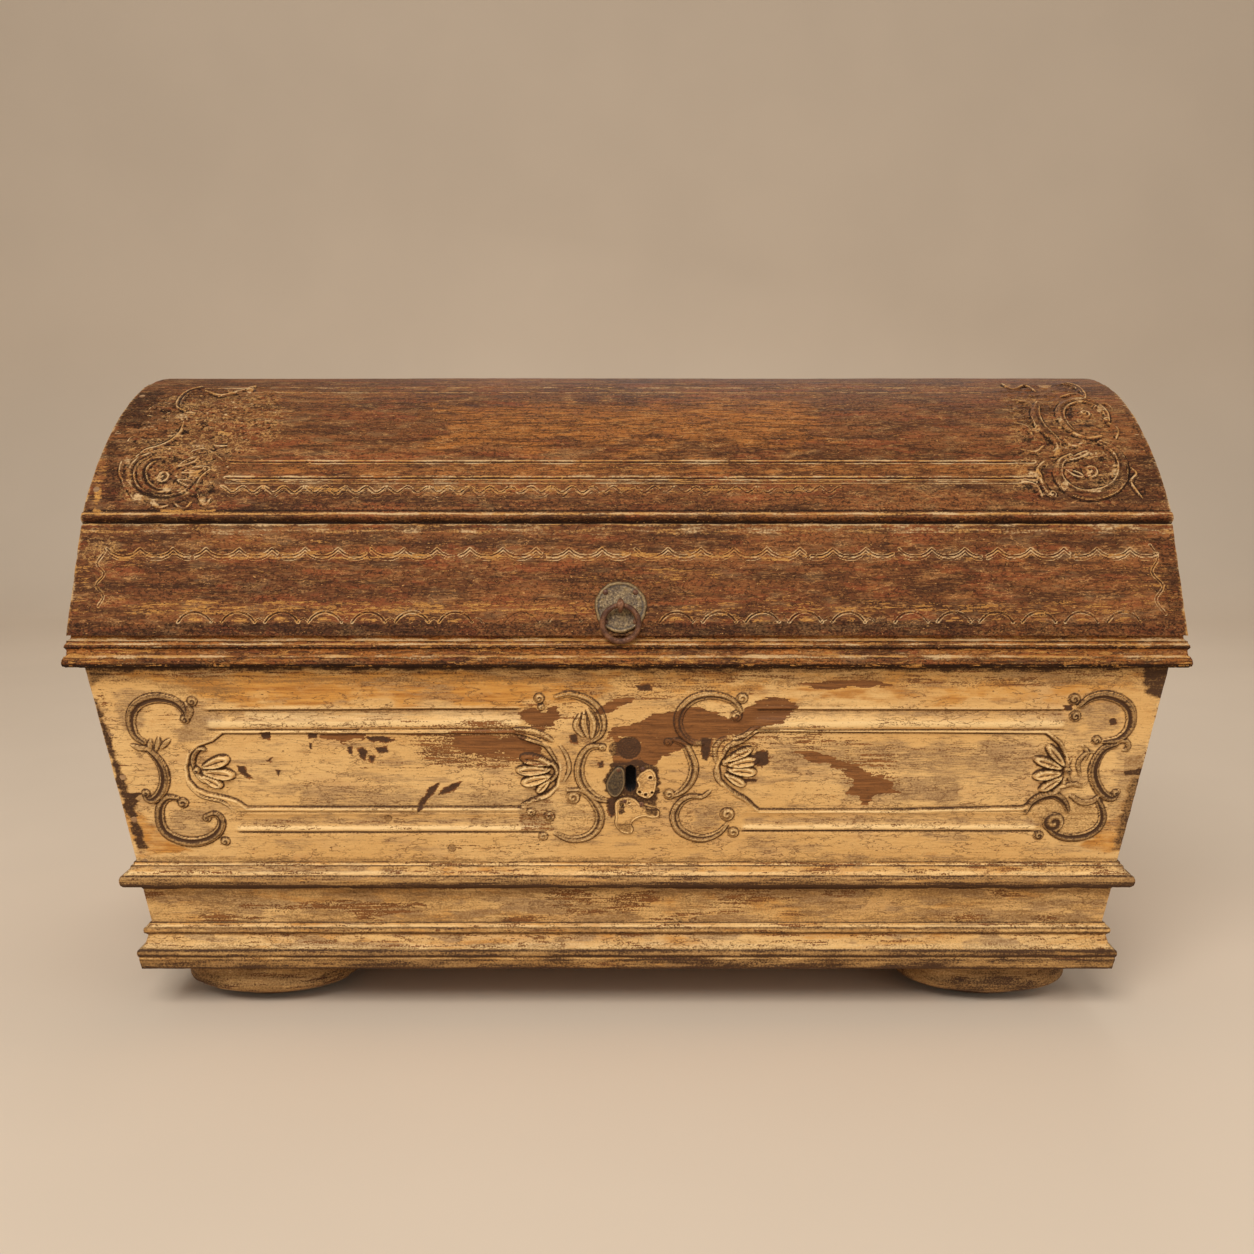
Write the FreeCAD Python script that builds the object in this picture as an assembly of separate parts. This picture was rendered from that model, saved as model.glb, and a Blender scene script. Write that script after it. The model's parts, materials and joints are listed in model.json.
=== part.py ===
import FreeCAD, Part
import math
import os

# A domed trunk: a tapering painted chest on four turned feet, closed by a carved, arched lid.
# Millimetres, +Z up, width along X, the front faces -Y, origin on the floor under the middle.
# An inset is how far a place lies inside the outermost plane of the lid moulding: behind it on
# the front, and in from it on the two ends, where the same profiles and slopes go round.

# Whole trunk
TRUNK_WIDTH = 1400.0
BACK_INSET = 715.0
JOINT_HEIGHT = 481.0
LID_GAP = 0.8
FIT_GAP = 0.1
RUNNING_GAP = 0.08
REST_GAP = 0.3
OVERRUN = 20.0

# Chest walls
CHEST_BOTTOM = 66.0
WALL_TOP_INSET = 20.0
WALL_LEAN = 57.6
WALL_THICKNESS = 24.0
PLINTH_TOP = 185.0
FLOOR_THICKNESS = 22.0
FLOOR_BOARDS = 4

# Sunk panels on the front
PANEL_MIDDLE = 328.0
PANEL_WIDTH = 412.0
PANEL_HEIGHT = 164.0
PANEL_NARROWING = 22.0
PANEL_BORDER = 30.0
PANEL_STEP = 2.0

# Mouldings, each profile given as shares of its reach and height
MID_BOTTOM = 174.5
MID_HEIGHT = 40.5
MID_REACH = 20.6
BASE_HEIGHT = 62.0
BASE_REACH = 21.8
RAIL_HEIGHT = 40.6
RAIL_REACH = 10.0
RAIL_WIDTH = 76.0

# Turned feet
FOOT_RADIUS = 110.0
FOOT_SOLE_RADIUS = 76.0
FOOT_TOP_RADIUS = 88.0
FOOT_BULGE_HEIGHT = 34.0
FOOT_INSET = 206.0
FOOT_BACK_SETBACK = 130.0
TENON_RADIUS = 18.0

# Lid
LID_FACE_INSET = 5.0
LID_TOP = 848.0
LID_END_LEAN = 25.7
LID_BOARD = 20.0
LID_END_BOARD = 22.0
SLANT_RISE = 136.0
SLANT_LEAN = 41.0
DOME_RADIUS = 362.0
DOME_SEAM_ANGLE = 75.0
LIP_REACH = 3.0
LIP_HEIGHT = 14.0

# Wooden pegs
PEG_RADIUS = 4.0
PEG_LENGTH = 52.0
WALL_PEGS = 5
DOME_PEGS = 4

# Keyhole and its plate
KEY_X = 4.6
KEY_HEIGHT = 331.0
KEYHOLE_RADIUS = 5.5
KEYHOLE_HEIGHT = 34.0
PLATE_THICKNESS = 2.0
PLATE_RADIUS = 25.0
PLATE_LOBE_RADIUS = 12.0
PLATE_BUD_RADIUS = 9.6
PLATE_LOBE_REACH = 22.0
PLATE_TAIL = 60.0
NAIL_HEAD_RADIUS = 4.0
NAIL_HEAD_HEIGHT = 2.0
NAIL_SHANK_RADIUS = 1.6
NAIL_LENGTH = 17.0

# Pull ring on its staple
RING_X = -8.0
RING_HEIGHT = 556.0
RING_RADIUS = 22.3
RING_WIRE_RADIUS = 3.7
RING_PLATE_RADIUS = 33.0
RING_PLATE_THICKNESS = 2.5
RING_PLATE_SCALLOPS = 12
SCALLOP_RADIUS = 5.0
EYE_WIRE_RADIUS = 2.5
EYE_CLEARANCE = 0.6
EYE_STANDOFF = 14.0
EYE_SHANK_RADIUS = 3.0
RING_LEAN = 1.4

# Hinges
HINGE_X = 430.0
HINGE_WIDTH = 40.0
LEAF_THICKNESS = 3.0
PIN_RADIUS = 3.0
BARREL_RADIUS = 6.5
BARREL_GAP = 0.4
PIN_HEAD = 2.0
BODY_LEAF_LENGTH = 190.0
LID_LEAF_LENGTH = 105.0

# Lock
LOCK_WIDTH = 150.0
LOCK_ABOVE_KEY = 144.0
LOCK_BELOW_KEY = 48.0
LOCK_DEPTH = 30.0
LOCK_PLATE = 2.5
LOCK_HOLE_RADIUS = 3.0
TONGUE_X_THICKNESS = 6.0
TONGUE_WIDTH = 14.0
TONGUE_LENGTH = 30.0
TONGUE_DEPTH = 17.0
TONGUE_HOLE_WIDTH = 9.0
TONGUE_HOLE_HEIGHT = 12.0
TONGUE_HOLE_DROP = 21.0
CATCH_PLATE_LENGTH = 62.0
CATCH_PLATE_WIDTH = 20.0
SLOT_MARGIN = 4.0
BOLT_THICKNESS = 6.0
BOLT_HEIGHT = 9.0
BOLT_LENGTH = 54.0
BOLT_TRAVEL = 12.0
BOLT_DEPTH = 13.9
BOLT_LEG_WIDTH = 22.0
BOLT_LEG_INSET = 16.0
BOLT_LEG_BOTTOM = -20.0
TALON_SIZE = 9.0
GUIDE_GRIP = 3.0
GUIDE_WIDTH = 14.0
SPRING_THICKNESS = 1.2
SPRING_RISE = 8.0

WALL_TOP = JOINT_HEIGHT - LID_GAP / 2
LID_BOTTOM = JOINT_HEIGHT + LID_GAP / 2
RAIL_TOP = LID_BOTTOM + RAIL_HEIGHT
SLANT_TOP = RAIL_TOP + SLANT_RISE
LID_MIDDLE = (BACK_INSET + LID_FACE_INSET) / 2
DOME_CENTRE = LID_TOP - DOME_RADIUS
FLOOR_TOP = CHEST_BOTTOM + FLOOR_THICKNESS
WALL_ANGLE = math.atan(WALL_LEAN / (WALL_TOP - CHEST_BOTTOM))
SLANT_ANGLE = math.atan(SLANT_LEAN / SLANT_RISE)
WALL_ACROSS = WALL_THICKNESS / math.cos(WALL_ANGLE)
SLANT_ACROSS = LID_BOARD / math.cos(SLANT_ANGLE)
HALF = TRUNK_WIDTH / 2


def wall_inset(z):
    """Inset of the outer face of the chest walls at a height."""
    return WALL_TOP_INSET + WALL_LEAN * (WALL_TOP - z) / (WALL_TOP - CHEST_BOTTOM)


def slant_inset(z):
    """Inset of the outer face of the lid's slanted front board at a height."""
    return LID_FACE_INSET + SLANT_LEAN * (z - RAIL_TOP) / SLANT_RISE


def lid_end_inset(z):
    """Inset of the outer face of the lid's arched ends at a height."""
    return LID_FACE_INSET + LID_END_LEAN * (z - RAIL_TOP) / (LID_TOP - RAIL_TOP)


# The eye of the ring's staple reaches furthest forward and the hinge barrels furthest back.
EYE_INSET = slant_inset(RING_HEIGHT) - EYE_STANDOFF * math.cos(SLANT_ANGLE)
EYE_HEIGHT = RING_HEIGHT + EYE_STANDOFF * math.sin(SLANT_ANGLE)
EYE_HOLE_RADIUS = RING_WIRE_RADIUS + EYE_CLEARANCE
FRONT_REACH = EYE_INSET - EYE_HOLE_RADIUS - 2 * EYE_WIRE_RADIUS
HINGE_INSET = BACK_INSET + BARREL_GAP + BARREL_RADIUS
MIDDLE_INSET = (FRONT_REACH + HINGE_INSET + BARREL_RADIUS) / 2


def depth(inset):
    """Y of a plane that lies this far behind the front of the lid moulding."""
    return inset - MIDDLE_INSET


def path_wire(path, to_vector):
    """Closed wire: a start point, then (end,) for a line or (middle, end) for an arc."""
    edges = []
    here = path[0]
    for step in path[1:] + [(path[0],)]:
        ends = [to_vector(*here)] + [to_vector(*point) for point in step]
        if len(step) == 1:
            edges.append(Part.LineSegment(*ends).toShape())
        else:
            edges.append(Part.Arc(*ends).toShape())
        here = step[-1]
    return Part.Wire(edges)


def straight(points):
    """The path of a plain polygon."""
    return [points[0]] + [(point,) for point in points[1:]]


def along_x(path, x_low=-HALF - OVERRUN, x_high=HALF + OVERRUN):
    """Solid whose section in insets and heights is the same all along the width."""
    wire = path_wire(path, lambda inset, z: FreeCAD.Vector(x_low, depth(inset), z))
    return Part.Face(wire).extrude(FreeCAD.Vector(x_high - x_low, 0, 0))


def along_y(path, side, inset_low=-OVERRUN, inset_high=BACK_INSET):
    """Solid at one end of the trunk, with its section the same all along the depth."""
    start = depth(inset_low)
    wire = path_wire(path, lambda inset, z: FreeCAD.Vector(side * (HALF - inset), start, z))
    return Part.Face(wire).extrude(FreeCAD.Vector(0, inset_high - inset_low, 0))


def plan(points, z_low=-OVERRUN, z_high=LID_TOP + OVERRUN):
    """Upright prism over a polygon of (x, inset) points."""
    corners = [FreeCAD.Vector(x, depth(inset), z_low) for x, inset in points + points[:1]]
    face = Part.Face(Part.makePolygon(corners))
    return face.extrude(FreeCAD.Vector(0, 0, z_high - z_low))


def block(x_low, x_high, inset_low, inset_high, z_low, z_high):
    """Upright block between pairs of planes."""
    corner = FreeCAD.Vector(x_low, depth(inset_low), z_low)
    return Part.makeBox(x_high - x_low, inset_high - inset_low, z_high - z_low, corner)


def between_ends(inset_at, z_low, z_high):
    """Everything between the two slanted end planes, for cutting boards to length."""
    low = HALF - inset_at(z_low)
    high = HALF - inset_at(z_high)
    points = [(-low, z_low), (low, z_low), (high, z_high), (-high, z_high), (-low, z_low)]
    corners = [FreeCAD.Vector(x, depth(-OVERRUN), z) for x, z in points]
    span = HINGE_INSET + 2 * OVERRUN
    return Part.Face(Part.makePolygon(corners)).extrude(FreeCAD.Vector(0, span, 0))


def strip(inset_at, thickness, z_low, z_high):
    """Path of a slanted board's section, from its outer face inwards."""
    low = inset_at(z_low)
    high = inset_at(z_high)
    return straight([(low, z_low), (low + thickness, z_low), (high + thickness, z_high), (high, z_high)])


def tilted(shape, x, inset, z, angle, backwards=False):
    """Sets a shape made with y pointing into the wood onto a leaning face of the trunk."""
    placed = shape.copy()
    if backwards:
        placed.rotate(FreeCAD.Vector(0, 0, 0), FreeCAD.Vector(0, 0, 1), 180)
    placed.rotate(FreeCAD.Vector(0, 0, 0), FreeCAD.Vector(1, 0, 0), math.degrees(angle))
    placed.translate(FreeCAD.Vector(x, depth(inset), z))
    return placed


def round_bar(radius, start, length, direction=(0, 1, 0)):
    """Cylinder from a start point along a direction."""
    return Part.makeCylinder(radius, length, FreeCAD.Vector(*start), FreeCAD.Vector(*direction))


def fused(shapes):
    """One clean solid out of several that touch or overlap."""
    return shapes[0].fuse(shapes[1:]).removeSplitter()


def nail(seat):
    """Domed nail whose head sits a plate's thickness in front of the wood."""
    sphere_radius = (NAIL_HEAD_RADIUS ** 2 + NAIL_HEAD_HEIGHT ** 2) / (2 * NAIL_HEAD_HEIGHT)
    ball_y = sphere_radius - NAIL_HEAD_HEIGHT - seat
    ball = Part.makeSphere(sphere_radius, FreeCAD.Vector(0, ball_y, 0))
    side = 2 * sphere_radius
    corner = FreeCAD.Vector(-sphere_radius, -side - seat, -sphere_radius)
    front = Part.makeBox(side, side, side, corner)
    shank = round_bar(NAIL_SHANK_RADIUS, (0, -seat, 0), NAIL_LENGTH)
    return fused([ball.common(front), shank])


def nail_hole():
    """Room for a nail's shank, in plates and wood alike."""
    return round_bar(NAIL_SHANK_RADIUS + FIT_GAP, (0, -OVERRUN, 0), NAIL_LENGTH + OVERRUN + FIT_GAP)


def save(name, shape):
    shape.exportStep("parts/" + name + ".step")


# Chest walls, plinth boards and floor

def front_strip(z_low, z_high):
    """A board of the slanted front, cut to the slope of the ends."""
    board = along_x(strip(wall_inset, WALL_ACROSS, z_low, z_high))
    return board.common(between_ends(wall_inset, z_low, z_high))


def back_strip(z_low, z_high):
    """A board of the upright back, as long as the front at every height."""
    back = BACK_INSET - WALL_THICKNESS
    corners = [(back, z_low), (BACK_INSET, z_low), (BACK_INSET, z_high), (back, z_high)]
    return along_x(straight(corners)).common(between_ends(wall_inset, z_low, z_high))


def end_strip(side, z_low, z_high):
    """A board of one end, between the front and the back boards."""
    board = along_y(strip(wall_inset, WALL_ACROSS, z_low, z_high), side)
    back = BACK_INSET - WALL_THICKNESS
    front_low = wall_inset(z_low) + WALL_ACROSS
    front_high = wall_inset(z_high) + WALL_ACROSS
    room = [(front_low, z_low), (back, z_low), (back, z_high), (front_high, z_high)]
    return board.common(along_x(straight(room)))


def floor_board(index):
    """One of the floor boards, which lie under the walls and run along the width."""
    front = wall_inset(CHEST_BOTTOM)
    pitch = (BACK_INSET - front) / FLOOR_BOARDS
    low = front + index * pitch
    high = low + pitch
    low_top = low
    if index == 0:
        low_top = wall_inset(FLOOR_TOP)
    corners = [(low, CHEST_BOTTOM), (high, CHEST_BOTTOM), (high, FLOOR_TOP), (low_top, FLOOR_TOP)]
    return along_x(straight(corners)).common(between_ends(wall_inset, CHEST_BOTTOM, FLOOR_TOP))


def panel_cut(side, border, sink):
    """Room of one sunk panel, narrower at its foot, on the slanted front face."""
    half_top = PANEL_WIDTH / 2 - border
    half_low = half_top - PANEL_NARROWING
    half_height = PANEL_HEIGHT / 2 - border
    x = side * PANEL_MIDDLE
    points = [(x - half_low, -half_height), (x + half_low, -half_height)]
    points += [(x + half_top, half_height), (x - half_top, half_height)]
    corners = [FreeCAD.Vector(px, -OVERRUN, pz) for px, pz in points + points[:1]]
    tool = Part.Face(Part.makePolygon(corners)).extrude(FreeCAD.Vector(0, OVERRUN + sink, 0))
    middle = (WALL_TOP + PLINTH_TOP) / 2
    return tilted(tool, 0, wall_inset(middle), middle, WALL_ANGLE)


def keyhole_cut():
    """Upright slot with round ends, right through the front."""
    radius = KEYHOLE_RADIUS
    straight_half = KEYHOLE_HEIGHT / 2 - radius
    start = wall_inset(KEY_HEIGHT) - OVERRUN
    length = 2 * OVERRUN + WALL_ACROSS
    slot = block(KEY_X - radius, KEY_X + radius, start, start + length,
                 KEY_HEIGHT - straight_half, KEY_HEIGHT + straight_half)
    rounds = [round_bar(radius, (KEY_X, depth(start), KEY_HEIGHT + end * straight_half), length)
              for end in (-1, 1)]
    return fused([slot] + rounds)


def wall_peg_heights():
    """Even heights for the pegs in the tall boards."""
    pitch = (WALL_TOP - PLINTH_TOP) / WALL_PEGS
    return [PLINTH_TOP + (count + 0.5) * pitch for count in range(WALL_PEGS)]


def wall_pegs(back, gap):
    """Pegs that hold the front or the back board onto both ends, flush with its face."""
    pegs = []
    for z in wall_peg_heights():
        x = HALF - wall_inset(z) - WALL_ACROSS / 2
        for side in (-1, 1):
            start = (side * x, depth(-OVERRUN), z)
            pegs.append(round_bar(PEG_RADIUS + gap, start, HINGE_INSET + 2 * OVERRUN))
    if back:
        keep = [(BACK_INSET - PEG_LENGTH - gap, 0), (BACK_INSET + gap, 0)]
        keep += [(BACK_INSET + gap, WALL_TOP), (BACK_INSET - PEG_LENGTH - gap, WALL_TOP)]
        room = along_x(straight(keep))
    else:
        face = strip(lambda z: wall_inset(z) - gap, PEG_LENGTH + 2 * gap, CHEST_BOTTOM, WALL_TOP)
        room = along_x(face)
    return [peg.common(room) for peg in pegs]


def make_walls():
    holes = wall_pegs(False, FIT_GAP) + wall_pegs(True, FIT_GAP)
    front = front_strip(PLINTH_TOP, WALL_TOP)
    panels = [panel_cut(side, border, sink) for side in (-1, 1)
              for border, sink in ((0, PANEL_STEP), (PANEL_BORDER, 2 * PANEL_STEP))]
    nails = key_plate_nails(nail_hole()) + lock_nails(nail_hole())
    save("front_board", front.cut(panels + [keyhole_cut()] + holes + nails))
    save("back_board", back_strip(PLINTH_TOP, WALL_TOP).cut(holes + body_leaf_nails(nail_hole())))
    for side, name in ((-1, "left"), (1, "right")):
        save(name + "_end_board", end_strip(side, PLINTH_TOP, WALL_TOP).cut(holes))
        save("plinth_" + name + "_board", end_strip(side, FLOOR_TOP, PLINTH_TOP))
    save("plinth_front_board", front_strip(FLOOR_TOP, PLINTH_TOP))
    save("plinth_back_board", back_strip(FLOOR_TOP, PLINTH_TOP))
    save("wall_pegs_front", Part.makeCompound(wall_pegs(False, 0)))
    save("wall_pegs_back", Part.makeCompound(wall_pegs(True, 0)))


def make_floor():
    tenons = [foot_tenon(x, inset, FIT_GAP) for x, inset in foot_places()]
    for index in range(FLOOR_BOARDS):
        save("floor_board_" + str(index + 1), floor_board(index).cut(tenons))


# Mouldings that run round the front and both ends, mitred at the corners

MID_START_SHARES = (0, 0)
MID_STEP_SHARES = [
    ((0.16, 0.16),), ((0.86, 0.22),), ((1.0, 0.42), (0.88, 0.60)), ((0.80, 0.64),),
    ((0.42, 0.70), (0.28, 0.90)), ((0.12, 0.92),), ((0.12, 1.0),), ((0, 1.0),),
]
BASE_START_SHARES = (0, 0)
BASE_STEP_SHARES = [
    ((0.95, 0),), ((0.97, 0.24),), ((0.93, 0.27),), ((1.0, 0.36), (0.93, 0.44)), ((0.86, 0.46),),
    ((0.52, 0.55), (0.30, 0.72)), ((0.36, 0.75),), ((0.47, 0.83), (0.38, 0.91)), ((0.20, 0.93),),
    ((0.12, 1.0),), ((0, 1.0),),
]
RAIL_START_SHARES = (0.62, 0)
RAIL_STEP_SHARES = [
    ((1.0, 0.17), (0.80, 0.34)), ((0.70, 0.36),), ((0.50, 0.44), (0.46, 0.56)), ((0.56, 0.58),),
    ((0.68, 0.66), (0.54, 0.74)), ((0.42, 0.76),), ((0.42, 0.84),), ((0.16, 0.86),), ((0, 0.90),),
    ((0, 1.0),),
]


def moulding_path(start_share, step_shares, face_at, reach, z_low, height):
    """Turns a profile's shares into insets and heights on a slanted or upright face."""
    def place(point):
        z = z_low + point[1] * height
        return (face_at(z) - point[0] * reach, z)
    return [place(start_share)] + [tuple(place(point) for point in step) for step in step_shares]


def mitred(path, deep):
    """A moulding's front, left and right lengths out of one profile."""
    front_keep = plan([(-HALF, 0), (HALF, 0), (HALF - deep, deep), (deep - HALF, deep)])
    pieces = {"front": along_x(path).common(front_keep)}
    for side, name in ((-1, "left"), (1, "right")):
        keep = [(side * HALF, 0), (side * (HALF - deep), deep)]
        keep += [(side * (HALF - deep), BACK_INSET), (side * HALF, BACK_INSET)]
        pieces[name] = along_y(path, side).common(plan(keep))
    return pieces


def make_chest_mouldings():
    mid = moulding_path(MID_START_SHARES, MID_STEP_SHARES, wall_inset, MID_REACH, MID_BOTTOM, MID_HEIGHT)
    base = moulding_path(BASE_START_SHARES, BASE_STEP_SHARES, wall_inset, BASE_REACH, CHEST_BOTTOM,
                         BASE_HEIGHT)
    deep = WALL_TOP_INSET + WALL_LEAN + WALL_THICKNESS
    for name, piece in mitred(mid, deep).items():
        save("mid_moulding_" + name, piece)
    for name, piece in mitred(base, deep).items():
        save("base_moulding_" + name, piece)


# Turned feet, each with a tenon up through the floor

def foot_places():
    """Feet stand as far in from the ends as from the front, and close to the plain back."""
    x = HALF - FOOT_INSET
    back = BACK_INSET - FOOT_BACK_SETBACK
    return [(-x, FOOT_INSET), (x, FOOT_INSET), (-x, back), (x, back)]


def foot_tenon(x, inset, gap):
    low = CHEST_BOTTOM - FOOT_TOP_RADIUS / 2
    return round_bar(TENON_RADIUS + gap, (x, depth(inset), low), FLOOR_TOP + gap - low, (0, 0, 1))


def foot(x, inset):
    """Flattened ball, turned about its upright axis."""
    low_mid = (FOOT_RADIUS + FOOT_SOLE_RADIUS) / 2
    top_mid = (FOOT_RADIUS + FOOT_TOP_RADIUS) / 2
    swell = math.sqrt(3) / 2
    low_bulge = FOOT_SOLE_RADIUS + (FOOT_RADIUS - FOOT_SOLE_RADIUS) * swell
    top_bulge = FOOT_TOP_RADIUS + (FOOT_RADIUS - FOOT_TOP_RADIUS) * swell
    above = CHEST_BOTTOM - FOOT_BULGE_HEIGHT
    path = [(0, 0), ((FOOT_SOLE_RADIUS, 0),)]
    path.append(((low_bulge, FOOT_BULGE_HEIGHT / 2), (FOOT_RADIUS, FOOT_BULGE_HEIGHT)))
    path.append(((top_bulge, FOOT_BULGE_HEIGHT + above / 2), (FOOT_TOP_RADIUS, CHEST_BOTTOM)))
    path.append(((0, CHEST_BOTTOM),))
    wire = path_wire(path, lambda radius, z: FreeCAD.Vector(radius, 0, z))
    ball = Part.Face(wire).revolve(FreeCAD.Vector(0, 0, 0), FreeCAD.Vector(0, 0, 1), 360)
    ball.translate(FreeCAD.Vector(x, depth(inset), 0))
    return fused([ball, foot_tenon(x, inset, 0)])


def make_feet():
    names = ("foot_front_left", "foot_front_right", "foot_back_left", "foot_back_right")
    for name, (x, inset) in zip(names, foot_places()):
        save(name, foot(x, inset))


# Lid: a frame of rails, slanted lower boards, arched ends and a dome of three boards

def mirrored_inset(inset):
    """The same place on the back half of the lid."""
    return 2 * LID_MIDDLE - inset


def mirrored_path(path):
    """A path of the front half, turned over to the back half."""
    def turned(point):
        return (mirrored_inset(point[0]), point[1])
    return [turned(path[0])] + [tuple(turned(point) for point in step) for step in path[1:]]


def dome_point(angle, radius):
    """Place on the dome, with the angle in degrees up from its front."""
    turn = math.radians(angle)
    return (LID_MIDDLE - radius * math.cos(turn), DOME_CENTRE + radius * math.sin(turn))


def dome_angle(z, radius):
    """Angle at which a circle of the dome passes a height."""
    return math.degrees(math.asin((z - DOME_CENTRE) / radius))


def lid_rails():
    face = moulding_path(RAIL_START_SHARES, RAIL_STEP_SHARES, lambda z: RAIL_REACH, RAIL_REACH,
                         LID_BOTTOM, RAIL_HEIGHT)
    path = face + [((RAIL_WIDTH, RAIL_TOP),), ((RAIL_WIDTH, LID_BOTTOM),)]
    rails = mitred(path, RAIL_WIDTH)
    front_of_back = BACK_INSET - RAIL_WIDTH
    clear = plan([(-HALF - OVERRUN, front_of_back), (HALF + OVERRUN, front_of_back),
                  (HALF + OVERRUN, BACK_INSET + OVERRUN), (-HALF - OVERRUN, BACK_INSET + OVERRUN)])
    for name in ("left", "right"):
        rails[name] = rails[name].cut(clear)
    back_half = HALF - RAIL_REACH
    rails["back"] = block(-back_half, back_half, front_of_back, BACK_INSET, LID_BOTTOM, RAIL_TOP)
    return rails


def slant_path():
    return strip(slant_inset, SLANT_ACROSS, RAIL_TOP, SLANT_TOP)


def dome_front_path():
    """Section of the carved front board of the dome, with a rounded lip along its foot."""
    inner = DOME_RADIUS - LID_BOARD
    foot_in = dome_point(dome_angle(SLANT_TOP, inner), inner)
    foot_out = dome_point(dome_angle(SLANT_TOP, DOME_RADIUS), DOME_RADIUS)
    lip_top = dome_point(dome_angle(SLANT_TOP + LIP_HEIGHT, DOME_RADIUS), DOME_RADIUS)
    lip_mid = dome_point(dome_angle(SLANT_TOP + LIP_HEIGHT / 2, DOME_RADIUS), DOME_RADIUS + LIP_REACH)
    middle = (dome_angle(SLANT_TOP, DOME_RADIUS) + DOME_SEAM_ANGLE) / 2
    path = [foot_in, (foot_out,), (lip_mid, lip_top)]
    path.append((dome_point(middle, DOME_RADIUS), dome_point(DOME_SEAM_ANGLE, DOME_RADIUS)))
    path.append((dome_point(DOME_SEAM_ANGLE, inner),))
    path.append((dome_point(middle, inner), foot_in))
    return path


def dome_ridge_path():
    """Section of the ridge board between the front and back boards of the dome."""
    inner = DOME_RADIUS - LID_BOARD
    far = 180 - DOME_SEAM_ANGLE
    path = [dome_point(DOME_SEAM_ANGLE, inner), (dome_point(DOME_SEAM_ANGLE, DOME_RADIUS),)]
    path.append((dome_point(90, DOME_RADIUS), dome_point(far, DOME_RADIUS)))
    path.append((dome_point(far, inner),))
    path.append((dome_point(90, inner), dome_point(DOME_SEAM_ANGLE, inner)))
    return path


def closed_wire_face(path):
    """Face of a path that already ends where it starts."""
    edges = []
    here = path[0]
    for step in path[1:]:
        ends = [FreeCAD.Vector(-HALF, depth(point[0]), point[1]) for point in (here,) + step]
        edges.append(Part.LineSegment(*ends).toShape() if len(step) == 1 else Part.Arc(*ends).toShape())
        here = step[-1]
    return Part.Face(Part.Wire(edges))


def lid_board(face):
    """A lid board run out along the width and cut to the lean of the lid's ends."""
    board = face.extrude(FreeCAD.Vector(TRUNK_WIDTH, 0, 0))
    return board.common(between_ends(lid_end_inset, RAIL_TOP, LID_TOP + LIP_REACH))


def lid_end(side):
    """Arched end that stands on the rails and carries the edges of the boards above it."""
    inner = DOME_RADIUS - LID_BOARD
    low = (slant_inset(RAIL_TOP) + SLANT_ACROSS, RAIL_TOP)
    shoulder = (slant_inset(SLANT_TOP) + SLANT_ACROSS, SLANT_TOP)
    spring = dome_point(dome_angle(SLANT_TOP, inner), inner)
    far_side = [(mirrored_inset(place[0]), place[1]) for place in (spring, shoulder, low)]
    path = [low, (shoulder,), (spring,), (dome_point(90, inner), far_side[0])]
    path += [(far_side[1],), (far_side[2],)]
    across = LID_END_BOARD / math.cos(math.atan(LID_END_LEAN / (LID_TOP - RAIL_TOP)))
    lean = along_y(strip(lid_end_inset, across, RAIL_TOP, LID_TOP), side)
    return along_x(path).common(lean)


def lid_pegs(side, gap):
    """Pegs down through the dome and slanted boards into one arched end."""
    pegs = []
    low = dome_angle(SLANT_TOP, DOME_RADIUS)
    pitch = (90 - low) / DOME_PEGS
    for count in range(DOME_PEGS):
        angle = low + (count + 0.5) * pitch
        for turn in (angle, 180 - angle):
            start = dome_point(turn, DOME_RADIUS + gap)
            x = side * (HALF - lid_end_inset(start[1]) - LID_END_BOARD / 2)
            inward = (0, math.cos(math.radians(turn)), -math.sin(math.radians(turn)))
            place = (x, depth(start[0]), start[1])
            pegs.append(round_bar(PEG_RADIUS + gap, place, PEG_LENGTH + 2 * gap, inward))
    return pegs


def make_lid():
    holes = lid_pegs(-1, FIT_GAP) + lid_pegs(1, FIT_GAP)
    rails = lid_rails()
    rails["front"] = rails["front"].cut(catch_room() + catch_nails(nail_hole()))
    rails["back"] = rails["back"].cut(lid_leaf_nails(nail_hole()))
    for name, rail in rails.items():
        save("lid_rail_" + name, rail)
    slant = lid_board(along_x_face(slant_path()))
    save("lid_slant_front", slant.cut(ring_plate_nails(nail_hole()) + [eye_shank(FIT_GAP)]))
    back_slant = lid_board(along_x_face(mirrored_path(slant_path())))
    save("lid_slant_back", back_slant.cut(lid_leaf_nails(nail_hole())))
    save("dome_front_board", lid_board(closed_wire_face(dome_front_path())).cut(holes))
    save("dome_ridge_board", lid_board(closed_wire_face(dome_ridge_path())).cut(holes))
    save("dome_back_board", lid_board(closed_wire_face(mirrored_path(dome_front_path()))).cut(holes))
    for side, name in ((-1, "left"), (1, "right")):
        save("lid_end_" + name, lid_end(side).cut(holes))
        save("lid_pegs_" + name, Part.makeCompound(lid_pegs(side, 0)))


def along_x_face(path):
    """Face of a section, at the left end of the trunk."""
    return Part.Face(path_wire(path, lambda inset, z: FreeCAD.Vector(-HALF, depth(inset), z)))


# Keyhole plate

PLATE_NAIL_SHARES = [(-0.62, 0.50), (0.62, 0.50), (-0.30, -1.25), (0.55, -1.45)]


def disc(radius, x, z, thickness):
    """Flat disc in front of a face, with its back on the face."""
    return round_bar(radius, (x, -thickness, z), thickness)


def on_front(shape):
    """Sets a piece on the outer face of the front board, at the keyhole."""
    return tilted(shape, KEY_X, wall_inset(KEY_HEIGHT), KEY_HEIGHT, WALL_ANGLE)


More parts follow.
